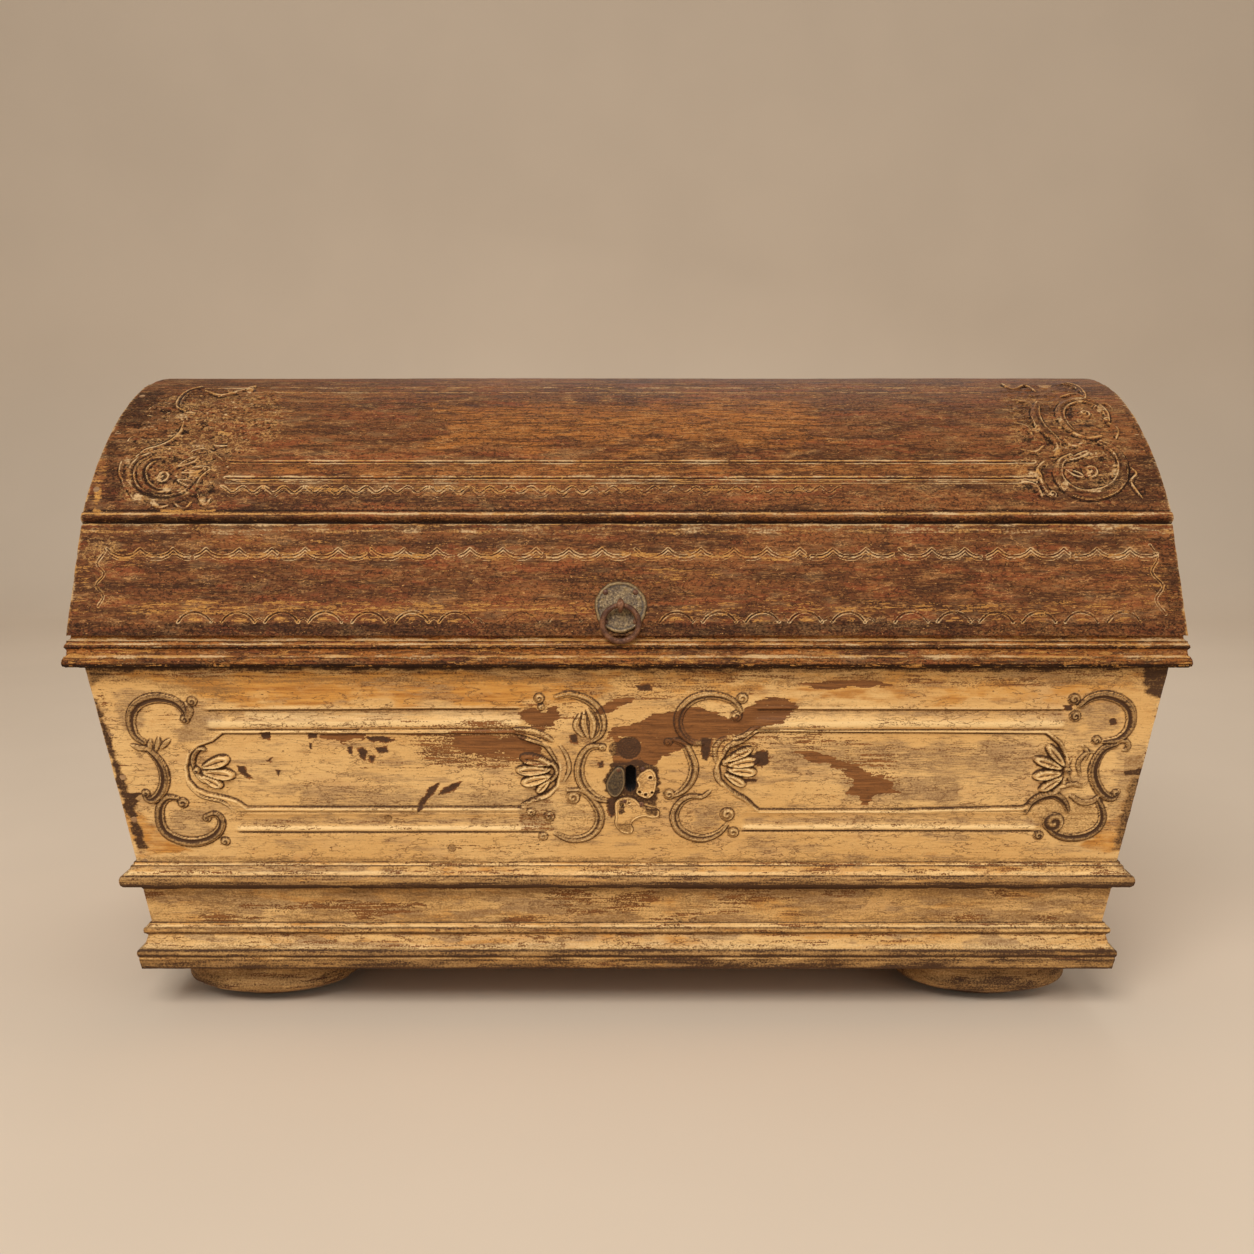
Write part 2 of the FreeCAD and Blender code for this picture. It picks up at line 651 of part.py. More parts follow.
def key_plate():
    """Lobed iron plate: a round body, two ears, and a tail that hangs to one side."""
    lobes = [disc(PLATE_RADIUS, 0, 0, PLATE_THICKNESS)]
    for side in (-1, 1):
        lobes.append(disc(PLATE_LOBE_RADIUS, side * PLATE_LOBE_REACH, 0, PLATE_THICKNESS))
    half = PLATE_RADIUS / 2
    tail_low = PLATE_LOBE_RADIUS - PLATE_TAIL
    bud_up = tail_low + PLATE_LOBE_RADIUS / 2
    points = [(-half, -half), (0, tail_low), (PLATE_RADIUS, bud_up), (half, -half)]
    corners = [FreeCAD.Vector(x, -PLATE_THICKNESS, z) for x, z in points + points[:1]]
    lobes.append(Part.Face(Part.makePolygon(corners)).extrude(FreeCAD.Vector(0, PLATE_THICKNESS, 0)))
    lobes.append(disc(PLATE_LOBE_RADIUS, 0, tail_low, PLATE_THICKNESS))
    lobes.append(disc(PLATE_BUD_RADIUS, PLATE_RADIUS, bud_up, PLATE_THICKNESS))
    return on_front(fused(lobes))


def key_plate_nails(shape):
    """A nail, or its hole, at each fixing of the keyhole plate."""
    placed = []
    for x_share, z_share in PLATE_NAIL_SHARES:
        moved = shape.copy()
        moved.translate(FreeCAD.Vector(x_share * PLATE_RADIUS, 0, z_share * PLATE_RADIUS))
        placed.append(on_front(moved))
    return placed


def make_key_plate():
    save("keyhole_plate", key_plate().cut([keyhole_cut()] + key_plate_nails(nail_hole())))
    save("keyhole_plate_nails", Part.makeCompound(key_plate_nails(nail(PLATE_THICKNESS))))


# Pull ring, its staple and round plate

RING_NAIL_SHARE = 0.80


def on_slant(shape):
    """Sets a piece on the slanted front of the lid, at the middle of the ring plate."""
    return tilted(shape, RING_X, slant_inset(RING_HEIGHT), RING_HEIGHT, -SLANT_ANGLE)


def eye_shank(gap):
    """Shank of the staple, from inside the eye's wire through the plate and the board."""
    start = EYE_HOLE_RADIUS + EYE_WIRE_RADIUS - EYE_STANDOFF
    return on_slant(round_bar(EYE_SHANK_RADIUS + gap, (0, start, 0), LID_BOARD - start))


def ring_plate_nails(shape):
    """Four nails, or their holes, round the ring plate."""
    placed = []
    for quarter in range(4):
        turn = math.radians(90 * quarter + 45)
        moved = shape.copy()
        reach = RING_NAIL_SHARE * RING_PLATE_RADIUS
        moved.translate(FreeCAD.Vector(reach * math.cos(turn), 0, reach * math.sin(turn)))
        placed.append(on_slant(moved))
    return placed


def ring_plate():
    """Round plate with a scalloped rim."""
    plate = disc(RING_PLATE_RADIUS, 0, 0, RING_PLATE_THICKNESS)
    bites = []
    for count in range(RING_PLATE_SCALLOPS):
        turn = 2 * math.pi * count / RING_PLATE_SCALLOPS
        reach = RING_PLATE_RADIUS + SCALLOP_RADIUS / 2
        centre = (reach * math.cos(turn), -RING_PLATE_THICKNESS - OVERRUN, reach * math.sin(turn))
        bites.append(round_bar(SCALLOP_RADIUS, centre, 2 * OVERRUN))
    return on_slant(plate.cut(bites))


def ring_eye():
    """Staple: an upright eye on a shank."""
    eye = Part.makeTorus(EYE_HOLE_RADIUS + EYE_WIRE_RADIUS, EYE_WIRE_RADIUS,
                         FreeCAD.Vector(0, -EYE_STANDOFF, 0), FreeCAD.Vector(1, 0, 0))
    return fused([on_slant(eye), eye_shank(0)])


def pull_ring():
    """Forged ring that hangs from the eye and leans against the moulding."""
    ring = Part.makeTorus(RING_RADIUS, RING_WIRE_RADIUS, FreeCAD.Vector(0, 0, -RING_RADIUS),
                          FreeCAD.Vector(0, 1, 0))
    ring.rotate(FreeCAD.Vector(0, 0, 0), FreeCAD.Vector(1, 0, 0), -RING_LEAN)
    ring.translate(FreeCAD.Vector(RING_X, depth(EYE_INSET), EYE_HEIGHT))
    return ring


def make_pull():
    save("ring_plate", ring_plate().cut([eye_shank(FIT_GAP)] + ring_plate_nails(nail_hole())))
    save("ring_plate_nails", Part.makeCompound(ring_plate_nails(nail(RING_PLATE_THICKNESS))))
    save("ring_staple", ring_eye())
    save("pull_ring", pull_ring())


# Hinges on the back: a pin through three barrels, with a leaf on the chest and one on the lid

BODY_NAIL_SHARES = (0.20, 0.50, 0.80)
LID_NAIL_SHARES = (0.30, 0.80)


def on_hinge_axis(radius, x_low, length):
    """Cylinder about the hinge axis."""
    return round_bar(radius, (x_low, depth(HINGE_INSET), JOINT_HEIGHT), length, (1, 0, 0))


def barrel(x, slot):
    """One third of a hinge's barrel, and its bore: slot -1, 0 or 1 counted along X."""
    third = HINGE_WIDTH / 3
    low = x + (slot - 0.5) * third
    bar = on_hinge_axis(BARREL_RADIUS, low + REST_GAP, third - 2 * REST_GAP)
    bore = on_hinge_axis(PIN_RADIUS + RUNNING_GAP, low, third)
    return bar, bore


def leaf_tab(x, slot, up):
    """Strip of a leaf that runs into one barrel."""
    third = HINGE_WIDTH / 3
    low = x + (slot - 0.5) * third + REST_GAP
    start = JOINT_HEIGHT
    end = JOINT_HEIGHT + up * (BARREL_RADIUS + 2 * REST_GAP)
    return block(low, low + third - 2 * REST_GAP, BACK_INSET, BACK_INSET + LEAF_THICKNESS,
                 min(start, end), max(start, end))


def body_leaf(x):
    """Strap down the back of the chest, with a rounded end and the two outer barrels."""
    top = JOINT_HEIGHT - BARREL_RADIUS - REST_GAP
    low = JOINT_HEIGHT - BODY_LEAF_LENGTH
    half = HINGE_WIDTH / 2
    strap = block(x - half, x + half, BACK_INSET, BACK_INSET + LEAF_THICKNESS, low, top)
    tip = round_bar(HINGE_WIDTH / 2, (x, depth(BACK_INSET), low), LEAF_THICKNESS)
    parts = [strap, tip]
    bores = []
    for slot in (-1, 1):
        bar, bore = barrel(x, slot)
        parts += [bar, leaf_tab(x, slot, -1)]
        bores.append(bore)
    return fused(parts).cut(bores)


def lid_leaf_path():
    """Section of the lid's strap: up the back rail, then bent in along the slanted board."""
    low = JOINT_HEIGHT + BARREL_RADIUS + REST_GAP
    out = BACK_INSET + LEAF_THICKNESS
    sine = math.sin(SLANT_ANGLE)
    cosine = math.cos(SLANT_ANGLE)
    bend = LEAF_THICKNESS * math.tan(SLANT_ANGLE / 2)
    tip_in = (BACK_INSET - sine * LID_LEAF_LENGTH, RAIL_TOP + cosine * LID_LEAF_LENGTH)
    tip_out = (tip_in[0] + LEAF_THICKNESS * cosine, tip_in[1] + LEAF_THICKNESS * sine)
    points = [(BACK_INSET, low), (BACK_INSET, RAIL_TOP), tip_in, tip_out]
    return straight(points + [(out, RAIL_TOP + bend), (out, low)])


def lid_leaf(x):
    """Bent strap on the back of the lid, with the middle barrel."""
    strap = along_x(lid_leaf_path(), x - HINGE_WIDTH / 2, x + HINGE_WIDTH / 2)
    bar, bore = barrel(x, 0)
    return fused([strap, bar, leaf_tab(x, 0, 1)]).cut(bore)


def hinge_pin(x):
    """Pin with a small head at each end."""
    low = x - HINGE_WIDTH / 2
    shaft = on_hinge_axis(PIN_RADIUS, low - PIN_HEAD, HINGE_WIDTH + 2 * PIN_HEAD)
    starts = (low - PIN_HEAD, low + HINGE_WIDTH)
    heads = [on_hinge_axis(PIN_RADIUS + PIN_HEAD, start, PIN_HEAD) for start in starts]
    return fused([shaft] + heads)


def body_leaf_nails(shape):
    """Nails, or their holes, down both straps of the chest."""
    placed = []
    for side in (-1, 1):
        for share in BODY_NAIL_SHARES:
            z = JOINT_HEIGHT - share * BODY_LEAF_LENGTH
            placed.append(tilted(shape, side * HINGE_X, BACK_INSET, z, 0, True))
    return placed


def lid_leaf_nails(shape):
    """Nails, or their holes, up both straps of the lid."""
    placed = []
    for side in (-1, 1):
        for share in LID_NAIL_SHARES:
            run = share * LID_LEAF_LENGTH
            inset = BACK_INSET - run * math.sin(SLANT_ANGLE)
            z = RAIL_TOP + run * math.cos(SLANT_ANGLE)
            placed.append(tilted(shape, side * HINGE_X, inset, z, SLANT_ANGLE, True))
        placed.append(tilted(shape, side * HINGE_X, BACK_INSET, (LID_BOTTOM + 2 * RAIL_TOP) / 3, 0, True))
    return placed


def make_hinges():
    body_holes = body_leaf_nails(nail_hole())
    lid_holes = lid_leaf_nails(nail_hole())
    for side, name in ((-1, "left"), (1, "right")):
        x = side * HINGE_X
        save("hinge_chest_leaf_" + name, body_leaf(x).cut(body_holes))
        save("hinge_lid_leaf_" + name, lid_leaf(x).cut(lid_holes))
        save("hinge_pin_" + name, hinge_pin(x))
    save("hinge_chest_nails", Part.makeCompound(body_leaf_nails(nail(LEAF_THICKNESS))))
    save("hinge_lid_nails", Part.makeCompound(lid_leaf_nails(nail(LEAF_THICKNESS))))


# Lock on the inside of the front, and the catch that the lid brings down into it

LOCK_TOP = LOCK_ABOVE_KEY
LOCK_LOW = -LOCK_BELOW_KEY
BOLT_MIDDLE = LOCK_ABOVE_KEY - TONGUE_HOLE_DROP
BOLT_TIP = -TONGUE_X_THICKNESS / 2 - SLOT_MARGIN / 2
LOCK_NAIL_SHARES = ((-0.42, 0.90), (0.42, 0.90), (-0.42, 0.10), (0.42, 0.10))


def on_inside(shape):
    """Sets a piece on the inner face of the front board, level with the keyhole."""
    return tilted(shape, KEY_X, wall_inset(KEY_HEIGHT) + WALL_ACROSS, KEY_HEIGHT, WALL_ANGLE)


def local_box(x_low, x_high, y_low, y_high, z_low, z_high):
    """Block in the lock's own directions: across, away from the wood, and up the board."""
    corner = FreeCAD.Vector(x_low, y_low, z_low)
    return Part.makeBox(x_high - x_low, y_high - y_low, z_high - z_low, corner)


def lock_case():
    """Iron box, open to the room, with a slot for the catch and a keyhole."""
    half = LOCK_WIDTH / 2
    wall = LOCK_PLATE
    case = local_box(-half, half, 0, LOCK_DEPTH - wall, LOCK_LOW, LOCK_TOP)
    room = local_box(wall - half, half - wall, wall, LOCK_DEPTH, LOCK_LOW + wall, LOCK_TOP - wall)
    slot_x = TONGUE_X_THICKNESS / 2 + SLOT_MARGIN
    slot_y = TONGUE_WIDTH / 2 + SLOT_MARGIN
    slot = local_box(-slot_x, slot_x, TONGUE_DEPTH - slot_y, TONGUE_DEPTH + slot_y, LOCK_TOP - OVERRUN,
                     LOCK_TOP + OVERRUN)
    return on_inside(case.cut([room, slot])).cut([keyhole_cut()] + lock_nails(nail_hole()))


def lock_cover():
    """Flat cover of the lock, with a small hole for the tip of the key."""
    half = LOCK_WIDTH / 2
    cover = local_box(-half, half, LOCK_DEPTH - LOCK_PLATE, LOCK_DEPTH, LOCK_LOW, LOCK_TOP)
    hole = round_bar(LOCK_HOLE_RADIUS, (0, LOCK_DEPTH - OVERRUN, 0), 2 * OVERRUN)
    return on_inside(cover.cut(hole))


def bolt_head_span():
    return (BOLT_TIP - BOLT_LENGTH, BOLT_TIP)


def bolt_leg_span():
    high = BOLT_TIP - BOLT_LEG_INSET
    return (high - BOLT_LEG_WIDTH, high)


def lock_bolt():
    """Bolt: a bar that enters the catch, on a leg that the key pushes at a notch."""
    y_low = BOLT_DEPTH - BOLT_THICKNESS / 2
    y_high = BOLT_DEPTH + BOLT_THICKNESS / 2
    head = bolt_head_span()
    leg = bolt_leg_span()
    half = BOLT_HEIGHT / 2
    bar = local_box(head[0], head[1], y_low, y_high, BOLT_MIDDLE - half, BOLT_MIDDLE + half)
    stem = local_box(leg[0], leg[1], y_low, y_high, BOLT_LEG_BOTTOM, BOLT_MIDDLE)
    talon = local_box(leg[1] - TALON_SIZE, leg[1] + TALON_SIZE, y_low - TALON_SIZE, y_high + TALON_SIZE,
                      -TALON_SIZE / 2, TALON_SIZE / 2)
    return on_inside(fused([bar, stem]).cut(talon))


def guide(x_low, x_high, z_low, z_high, slot_low, slot_high):
    """Grooved block on the back of the case that holds one edge of the bolt."""
    y_high = BOLT_DEPTH + BOLT_THICKNESS / 2 + GUIDE_GRIP
    whole = local_box(x_low, x_high, LOCK_PLATE, y_high, z_low, z_high)
    groove = local_box(x_low - OVERRUN, x_high + OVERRUN, BOLT_DEPTH - BOLT_THICKNESS / 2 - REST_GAP,
                       BOLT_DEPTH + BOLT_THICKNESS / 2 + REST_GAP, slot_low, slot_high)
    return on_inside(whole.cut(groove))


def bolt_guides():
    """Two guides: one under the bar, clear of the leg, and one under the foot of the leg."""
    head = bolt_head_span()
    leg = bolt_leg_span()
    bar_low = BOLT_MIDDLE - BOLT_HEIGHT / 2
    bar_guide = guide(head[0], leg[0] - REST_GAP, bar_low - GUIDE_WIDTH, bar_low + GUIDE_GRIP,
                      bar_low - REST_GAP, bar_low + OVERRUN)
    foot_guide = guide(leg[0], leg[1] + BOLT_TRAVEL, BOLT_LEG_BOTTOM - GUIDE_WIDTH / 2,
                       BOLT_LEG_BOTTOM + GUIDE_GRIP, BOLT_LEG_BOTTOM - REST_GAP, BOLT_LEG_BOTTOM + OVERRUN)
    return [bar_guide, foot_guide]


def bolt_spring():
    """Leaf spring that arches from the side of the case onto the top of the bar."""
    start = LOCK_PLATE - LOCK_WIDTH / 2
    touch = BOLT_MIDDLE + BOLT_HEIGHT / 2 + REST_GAP
    end = bolt_leg_span()[1]
    middle = (start + end) / 2
    high = touch + SPRING_RISE
    path = [(start, touch), ((middle, high), (end, touch)), ((end, touch + SPRING_THICKNESS),)]
    path.append(((middle, high + SPRING_THICKNESS), (start, touch + SPRING_THICKNESS)))
    y_low = BOLT_DEPTH - BOLT_THICKNESS / 2
    wire = path_wire(path, lambda x, z: FreeCAD.Vector(x, y_low, z))
    return on_inside(Part.Face(wire).extrude(FreeCAD.Vector(0, BOLT_THICKNESS, 0)))


def lock_nails(shape):
    """Nails, or their holes, through the back of the lock case into the front board."""
    placed = []
    for x_share, z_share in LOCK_NAIL_SHARES:
        turned = shape.copy()
        turned.rotate(FreeCAD.Vector(0, 0, 0), FreeCAD.Vector(0, 0, 1), 180)
        z = LOCK_LOW + z_share * (LOCK_TOP - LOCK_LOW)
        turned.translate(FreeCAD.Vector(x_share * LOCK_WIDTH, 0, z))
        placed.append(on_inside(turned))
    return placed


def catch_inset():
    """Inset of the middle of the catch's tongue where it enters the top of the lock."""
    up = LOCK_TOP
    return (wall_inset(KEY_HEIGHT) + WALL_ACROSS + TONGUE_DEPTH * math.cos(WALL_ANGLE)
            - up * math.sin(WALL_ANGLE))


def catch_room():
    """Recess for the catch's plate in the underside of the lid's front rail."""
    half = CATCH_PLATE_LENGTH / 2 + FIT_GAP
    wide = CATCH_PLATE_WIDTH / 2 + FIT_GAP
    return [block(KEY_X - half, KEY_X + half, catch_inset() - wide, catch_inset() + wide,
                  LID_BOTTOM - OVERRUN, LID_BOTTOM + LEAF_THICKNESS)]


def catch():
    """Plate let into the lid's rail, with a pierced tongue for the bolt."""
    half = CATCH_PLATE_LENGTH / 2
    wide = CATCH_PLATE_WIDTH / 2
    middle = catch_inset()
    top = LID_BOTTOM + LEAF_THICKNESS
    plate = block(KEY_X - half, KEY_X + half, middle - wide, middle + wide, LID_BOTTOM, top)
    thin = TONGUE_X_THICKNESS / 2
    tongue = block(KEY_X - thin, KEY_X + thin, middle - TONGUE_WIDTH / 2, middle + TONGUE_WIDTH / 2,
                   LID_BOTTOM - TONGUE_LENGTH, LID_BOTTOM)
    bolt_up = BOLT_MIDDLE * math.cos(WALL_ANGLE) + BOLT_DEPTH * math.sin(WALL_ANGLE)
    bolt_in = BOLT_DEPTH * math.cos(WALL_ANGLE) - BOLT_MIDDLE * math.sin(WALL_ANGLE)
    hole_z = KEY_HEIGHT + bolt_up
    hole_inset = wall_inset(KEY_HEIGHT) + WALL_ACROSS + bolt_in
    hole = block(KEY_X - OVERRUN, KEY_X + OVERRUN,
                 hole_inset - TONGUE_HOLE_WIDTH / 2, hole_inset + TONGUE_HOLE_WIDTH / 2,
                 hole_z - TONGUE_HOLE_HEIGHT / 2, hole_z + TONGUE_HOLE_HEIGHT / 2)
    return fused([plate, tongue]).cut(hole)


def catch_nails(shape):
    """Headless nails, or their holes, up through the catch's plate into the rail."""
    placed = []
    for side in (-1, 1):
        raised = shape.copy()
        raised.rotate(FreeCAD.Vector(0, 0, 0), FreeCAD.Vector(1, 0, 0), 90)
        x = KEY_X + side * CATCH_PLATE_LENGTH / 3
        raised.translate(FreeCAD.Vector(x, depth(catch_inset()), LID_BOTTOM))
        placed.append(raised)
    return placed


def make_lock():
    save("lock_case", lock_case())
    save("lock_cover", lock_cover())
    save("lock_bolt", lock_bolt())
    save("lock_bolt_guides", Part.makeCompound(bolt_guides()))
    save("lock_spring", bolt_spring())
    save("lock_nails", Part.makeCompound(lock_nails(nail(LOCK_PLATE))))
    save("lid_catch", catch().cut(catch_nails(nail_hole())))
    rivet = round_bar(NAIL_SHANK_RADIUS, (0, 0, 0), NAIL_LENGTH)
    save("lid_catch_rivets", Part.makeCompound(catch_nails(rivet)))


os.makedirs("parts", exist_ok=True)
make_walls()
make_floor()
make_chest_mouldings()
make_feet()
make_lid()
make_key_plate()
make_pull()
make_hinges()
make_lock()
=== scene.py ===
import bmesh
import bpy
import json
import math
import numpy as np
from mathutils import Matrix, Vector

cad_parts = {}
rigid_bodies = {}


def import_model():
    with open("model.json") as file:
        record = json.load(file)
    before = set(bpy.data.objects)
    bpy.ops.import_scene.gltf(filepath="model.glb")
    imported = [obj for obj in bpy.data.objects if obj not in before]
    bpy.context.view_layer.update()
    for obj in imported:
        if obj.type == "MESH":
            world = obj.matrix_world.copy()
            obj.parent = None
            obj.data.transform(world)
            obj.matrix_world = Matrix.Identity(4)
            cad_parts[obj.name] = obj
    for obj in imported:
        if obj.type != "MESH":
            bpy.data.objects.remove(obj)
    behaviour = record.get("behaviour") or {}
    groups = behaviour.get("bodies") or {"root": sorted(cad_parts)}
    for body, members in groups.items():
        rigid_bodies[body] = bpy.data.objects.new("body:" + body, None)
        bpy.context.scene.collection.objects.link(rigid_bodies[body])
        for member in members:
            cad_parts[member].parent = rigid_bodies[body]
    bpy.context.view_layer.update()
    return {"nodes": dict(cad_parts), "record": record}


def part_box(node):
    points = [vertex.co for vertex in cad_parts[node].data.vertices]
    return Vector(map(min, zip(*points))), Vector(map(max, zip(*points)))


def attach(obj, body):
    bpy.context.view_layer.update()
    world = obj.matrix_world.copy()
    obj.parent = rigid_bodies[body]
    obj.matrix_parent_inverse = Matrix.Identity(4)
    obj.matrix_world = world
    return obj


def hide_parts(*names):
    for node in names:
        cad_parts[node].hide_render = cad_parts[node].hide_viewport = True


# A domed trunk: a carved chest in worn cream paint under a carved lid in worn dark brown paint.
# The board faces are relief grids. Sizes are millimetres until the meshes are made, and a
# table whose name ends in PIXELS holds places in the 1254 x 1254 reference view.

for startup in list(bpy.data.objects):
    bpy.data.objects.remove(startup)
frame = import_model()

METRE = 0.001
X_AXIS = np.array([1.0, 0.0, 0.0])


def node_box(node):
    """Lowest and highest corner of a CAD node, in millimetres."""
    low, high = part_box(node)
    return np.array(low) / METRE, np.array(high) / METRE


# Camera of the reference view

IMAGE_SIZE = 1254
FOCAL_PIXELS = 1314.57
SENSOR_WIDTH = 36.0
CAMERA_DISTANCE = 1600.0
CAMERA_HEIGHT = 773.2
CAMERA_TILT = math.radians(8.523)

rail_low, rail_high = node_box("lid_rail_front")
CAMERA_PLACE = np.array([0.0, rail_low[1] - CAMERA_DISTANCE, CAMERA_HEIGHT])
CAMERA_FORWARD = np.array([0.0, math.cos(CAMERA_TILT), -math.sin(CAMERA_TILT)])
CAMERA_UP = np.array([0.0, math.sin(CAMERA_TILT), math.cos(CAMERA_TILT)])


def sight(pixel):
    """Direction from the camera through a pixel of the reference view."""
    right, down = [(value - IMAGE_SIZE / 2) / FOCAL_PIXELS for value in pixel]
    return CAMERA_FORWARD + right * X_AXIS - down * CAMERA_UP


def add_to_scene(name, data):
    made = bpy.data.objects.new(name, data)
    bpy.context.scene.collection.objects.link(made)
    return made


def make_camera():
    data = bpy.data.cameras.new("reference_camera")
    data.sensor_width = SENSOR_WIDTH
    data.lens = FOCAL_PIXELS / IMAGE_SIZE * SENSOR_WIDTH
    camera = add_to_scene("reference_camera", data)
    camera.location = CAMERA_PLACE * METRE
    camera.rotation_euler = (math.pi / 2 - CAMERA_TILT, 0, 0)
    bpy.context.scene.camera = camera


# Faces of the trunk that carry relief. A place on a face is (along, up) in millimetres.

class Flat:
    """A flat face, seen from outside with along to the right and up to the top."""

    def __init__(self, origin, along, up):
        self.origin = np.array(origin, float)
        self.along = np.array(along, float)
        self.up = np.array(up, float) / np.linalg.norm(up)
        self.normal = np.cross(self.along, self.up)

    def points(self, along, up):
        return self.origin + along[..., None] * self.along + up[..., None] * self.up

    def normals(self, along, up):
        return np.broadcast_to(self.normal, along.shape + (3,))

    def find(self, pixel):
        ray = sight(pixel)
        reach = np.dot(self.origin - CAMERA_PLACE, self.normal) / np.dot(ray, self.normal)
        place = CAMERA_PLACE + reach * ray - self.origin
        return np.dot(place, self.along), np.dot(place, self.up)


class Arch:
    """The dome, with along on X and up as the arc from the level of its centre."""

    def __init__(self, centre_y, centre_z, radius, back=False):
        self.centre = np.array([0.0, centre_y, centre_z])
        self.radius = radius
        self.side = -1.0 if back else 1.0

    def normals(self, along, up):
        turn = up / self.radius
        return np.stack([0 * turn, -self.side * np.cos(turn), np.sin(turn)], axis=-1)

    def points(self, along, up):
        across = self.side * along[..., None] * X_AXIS
        return self.centre + across + self.radius * self.normals(along, up)

    def find(self, pixel):
        ray = sight(pixel)[1:]
        start = (CAMERA_PLACE - self.centre)[1:]
        square = np.dot(ray, ray)
        half = np.dot(start, ray)
        rest = np.dot(start, start) - self.radius ** 2
        reach = (-half - math.sqrt(max(half ** 2 - square * rest, 0))) / square
        place = start + reach * ray
        return reach * sight(pixel)[0], self.radius * math.atan2(place[1], -place[0])


# Noise on a grid of places, the same in every run

def lattice(column, row, seed):
    """A number from 0 to 1 for each crossing of a lattice."""
    mixed = column * 73856093 ^ row * 19349663 ^ seed * 83492791
    mixed = (mixed ^ (mixed >> 13)) * 1274126177 & 0x7FFFFFFF
    return ((mixed ^ (mixed >> 16)) & 0xFFFF) / 0xFFFF


def ripple(along, up, seed):
    """Smooth noise from 0 to 1 with a period of about one unit."""
    column, row = np.floor(along).astype(np.int64), np.floor(up).astype(np.int64)
    right, high = ease(along - column), ease(up - row)
    low_row, top_row = [lattice(column, level, seed) * (1 - right)
                        + lattice(column + 1, level, seed) * right for level in (row, row + 1)]
    return low_row * (1 - high) + top_row * high


def rough(along, up, seed, octaves=3):
    """Several ripples added up, still about 0 to 1."""
    total = weight = 0
    for octave in range(octaves):
        share, scale = 0.5 ** octave, 2.0 ** octave
        total = total + share * ripple(along * scale, up * scale, seed + octave)
        weight += share
    return total / weight


def ease(value):
    """Smooth step from 0 to 1."""
    value = np.clip(value, 0, 1)
    return value * value * (3 - 2 * value)


def bell(gap, width):
    """1 where there is no gap, falling to 0 as the gap passes the width."""
    return np.exp(-(gap / width) ** 2)


def circle(count):
    return np.linspace(0, 2 * math.pi, count, endpoint=False)


# Paths and shapes drawn on a face

def smooth(points, closed=False, steps=5):
    """Points along a smooth curve through chosen places."""
    points = np.asarray(points, float)
    if closed:
        padded = np.vstack([points[-1:], points, points[:2]])
    else:
        padded = np.vstack([2 * points[0] - points[1], points, 2 * points[-1] - points[-2]])
    curve = []
    for before, start, end, after in zip(padded, padded[1:], padded[2:], padded[3:]):
        for share in np.arange(steps) / steps:
            curve.append(0.5 * (2 * start + (end - before) * share
                                + (2 * before - 5 * start + 4 * end - after) * share ** 2
                                + (3 * start - before - 3 * end + after) * share ** 3))
    return np.array(curve + [padded[-2]])


def to_path(points, along, up):
    """Distance to a path, the share of its length there, and the side: 1 left, -1 right."""
    best = np.full(along.shape, np.inf)
    share, side = np.zeros(along.shape), np.zeros(along.shape)
    lengths = np.linalg.norm(np.diff(points, axis=0), axis=1)
    done = 0
    for start, end, length in zip(points[:-1], points[1:], lengths):
        if length > 0:
            unit = (end - start) / length
            right, high = along - start[0], up - start[1]
            run = np.clip(right * unit[0] + high * unit[1], 0, length)
            gap = np.hypot(right - run * unit[0], high - run * unit[1])
            closer = gap < best
            best[closer] = gap[closer]
            share[closer] = (done + run[closer]) / lengths.sum()
            side[closer] = np.sign(unit[0] * high - unit[1] * right)[closer]
            done += length
    return best, share, side


def outside_by(points, along, up):
    """Distance outside a closed outline, negative inside it."""
    inside = np.zeros(along.shape, bool)
    for start, end in zip(points, np.roll(points, -1, axis=0)):
        if start[1] != end[1]:
            between = (start[1] > up) != (end[1] > up)
            crossing = start[0] + (up - start[1]) * (end[0] - start[0]) / (end[1] - start[1])
            inside ^= between & (along < crossing)
    gap = to_path(np.vstack([points, points[:1]]), along, up)[0]
    return np.where(inside, -gap, gap)


EDGE_RUN = 2.4
LUMPS_RIM = 18.0
BLUR_ROUNDS = 3


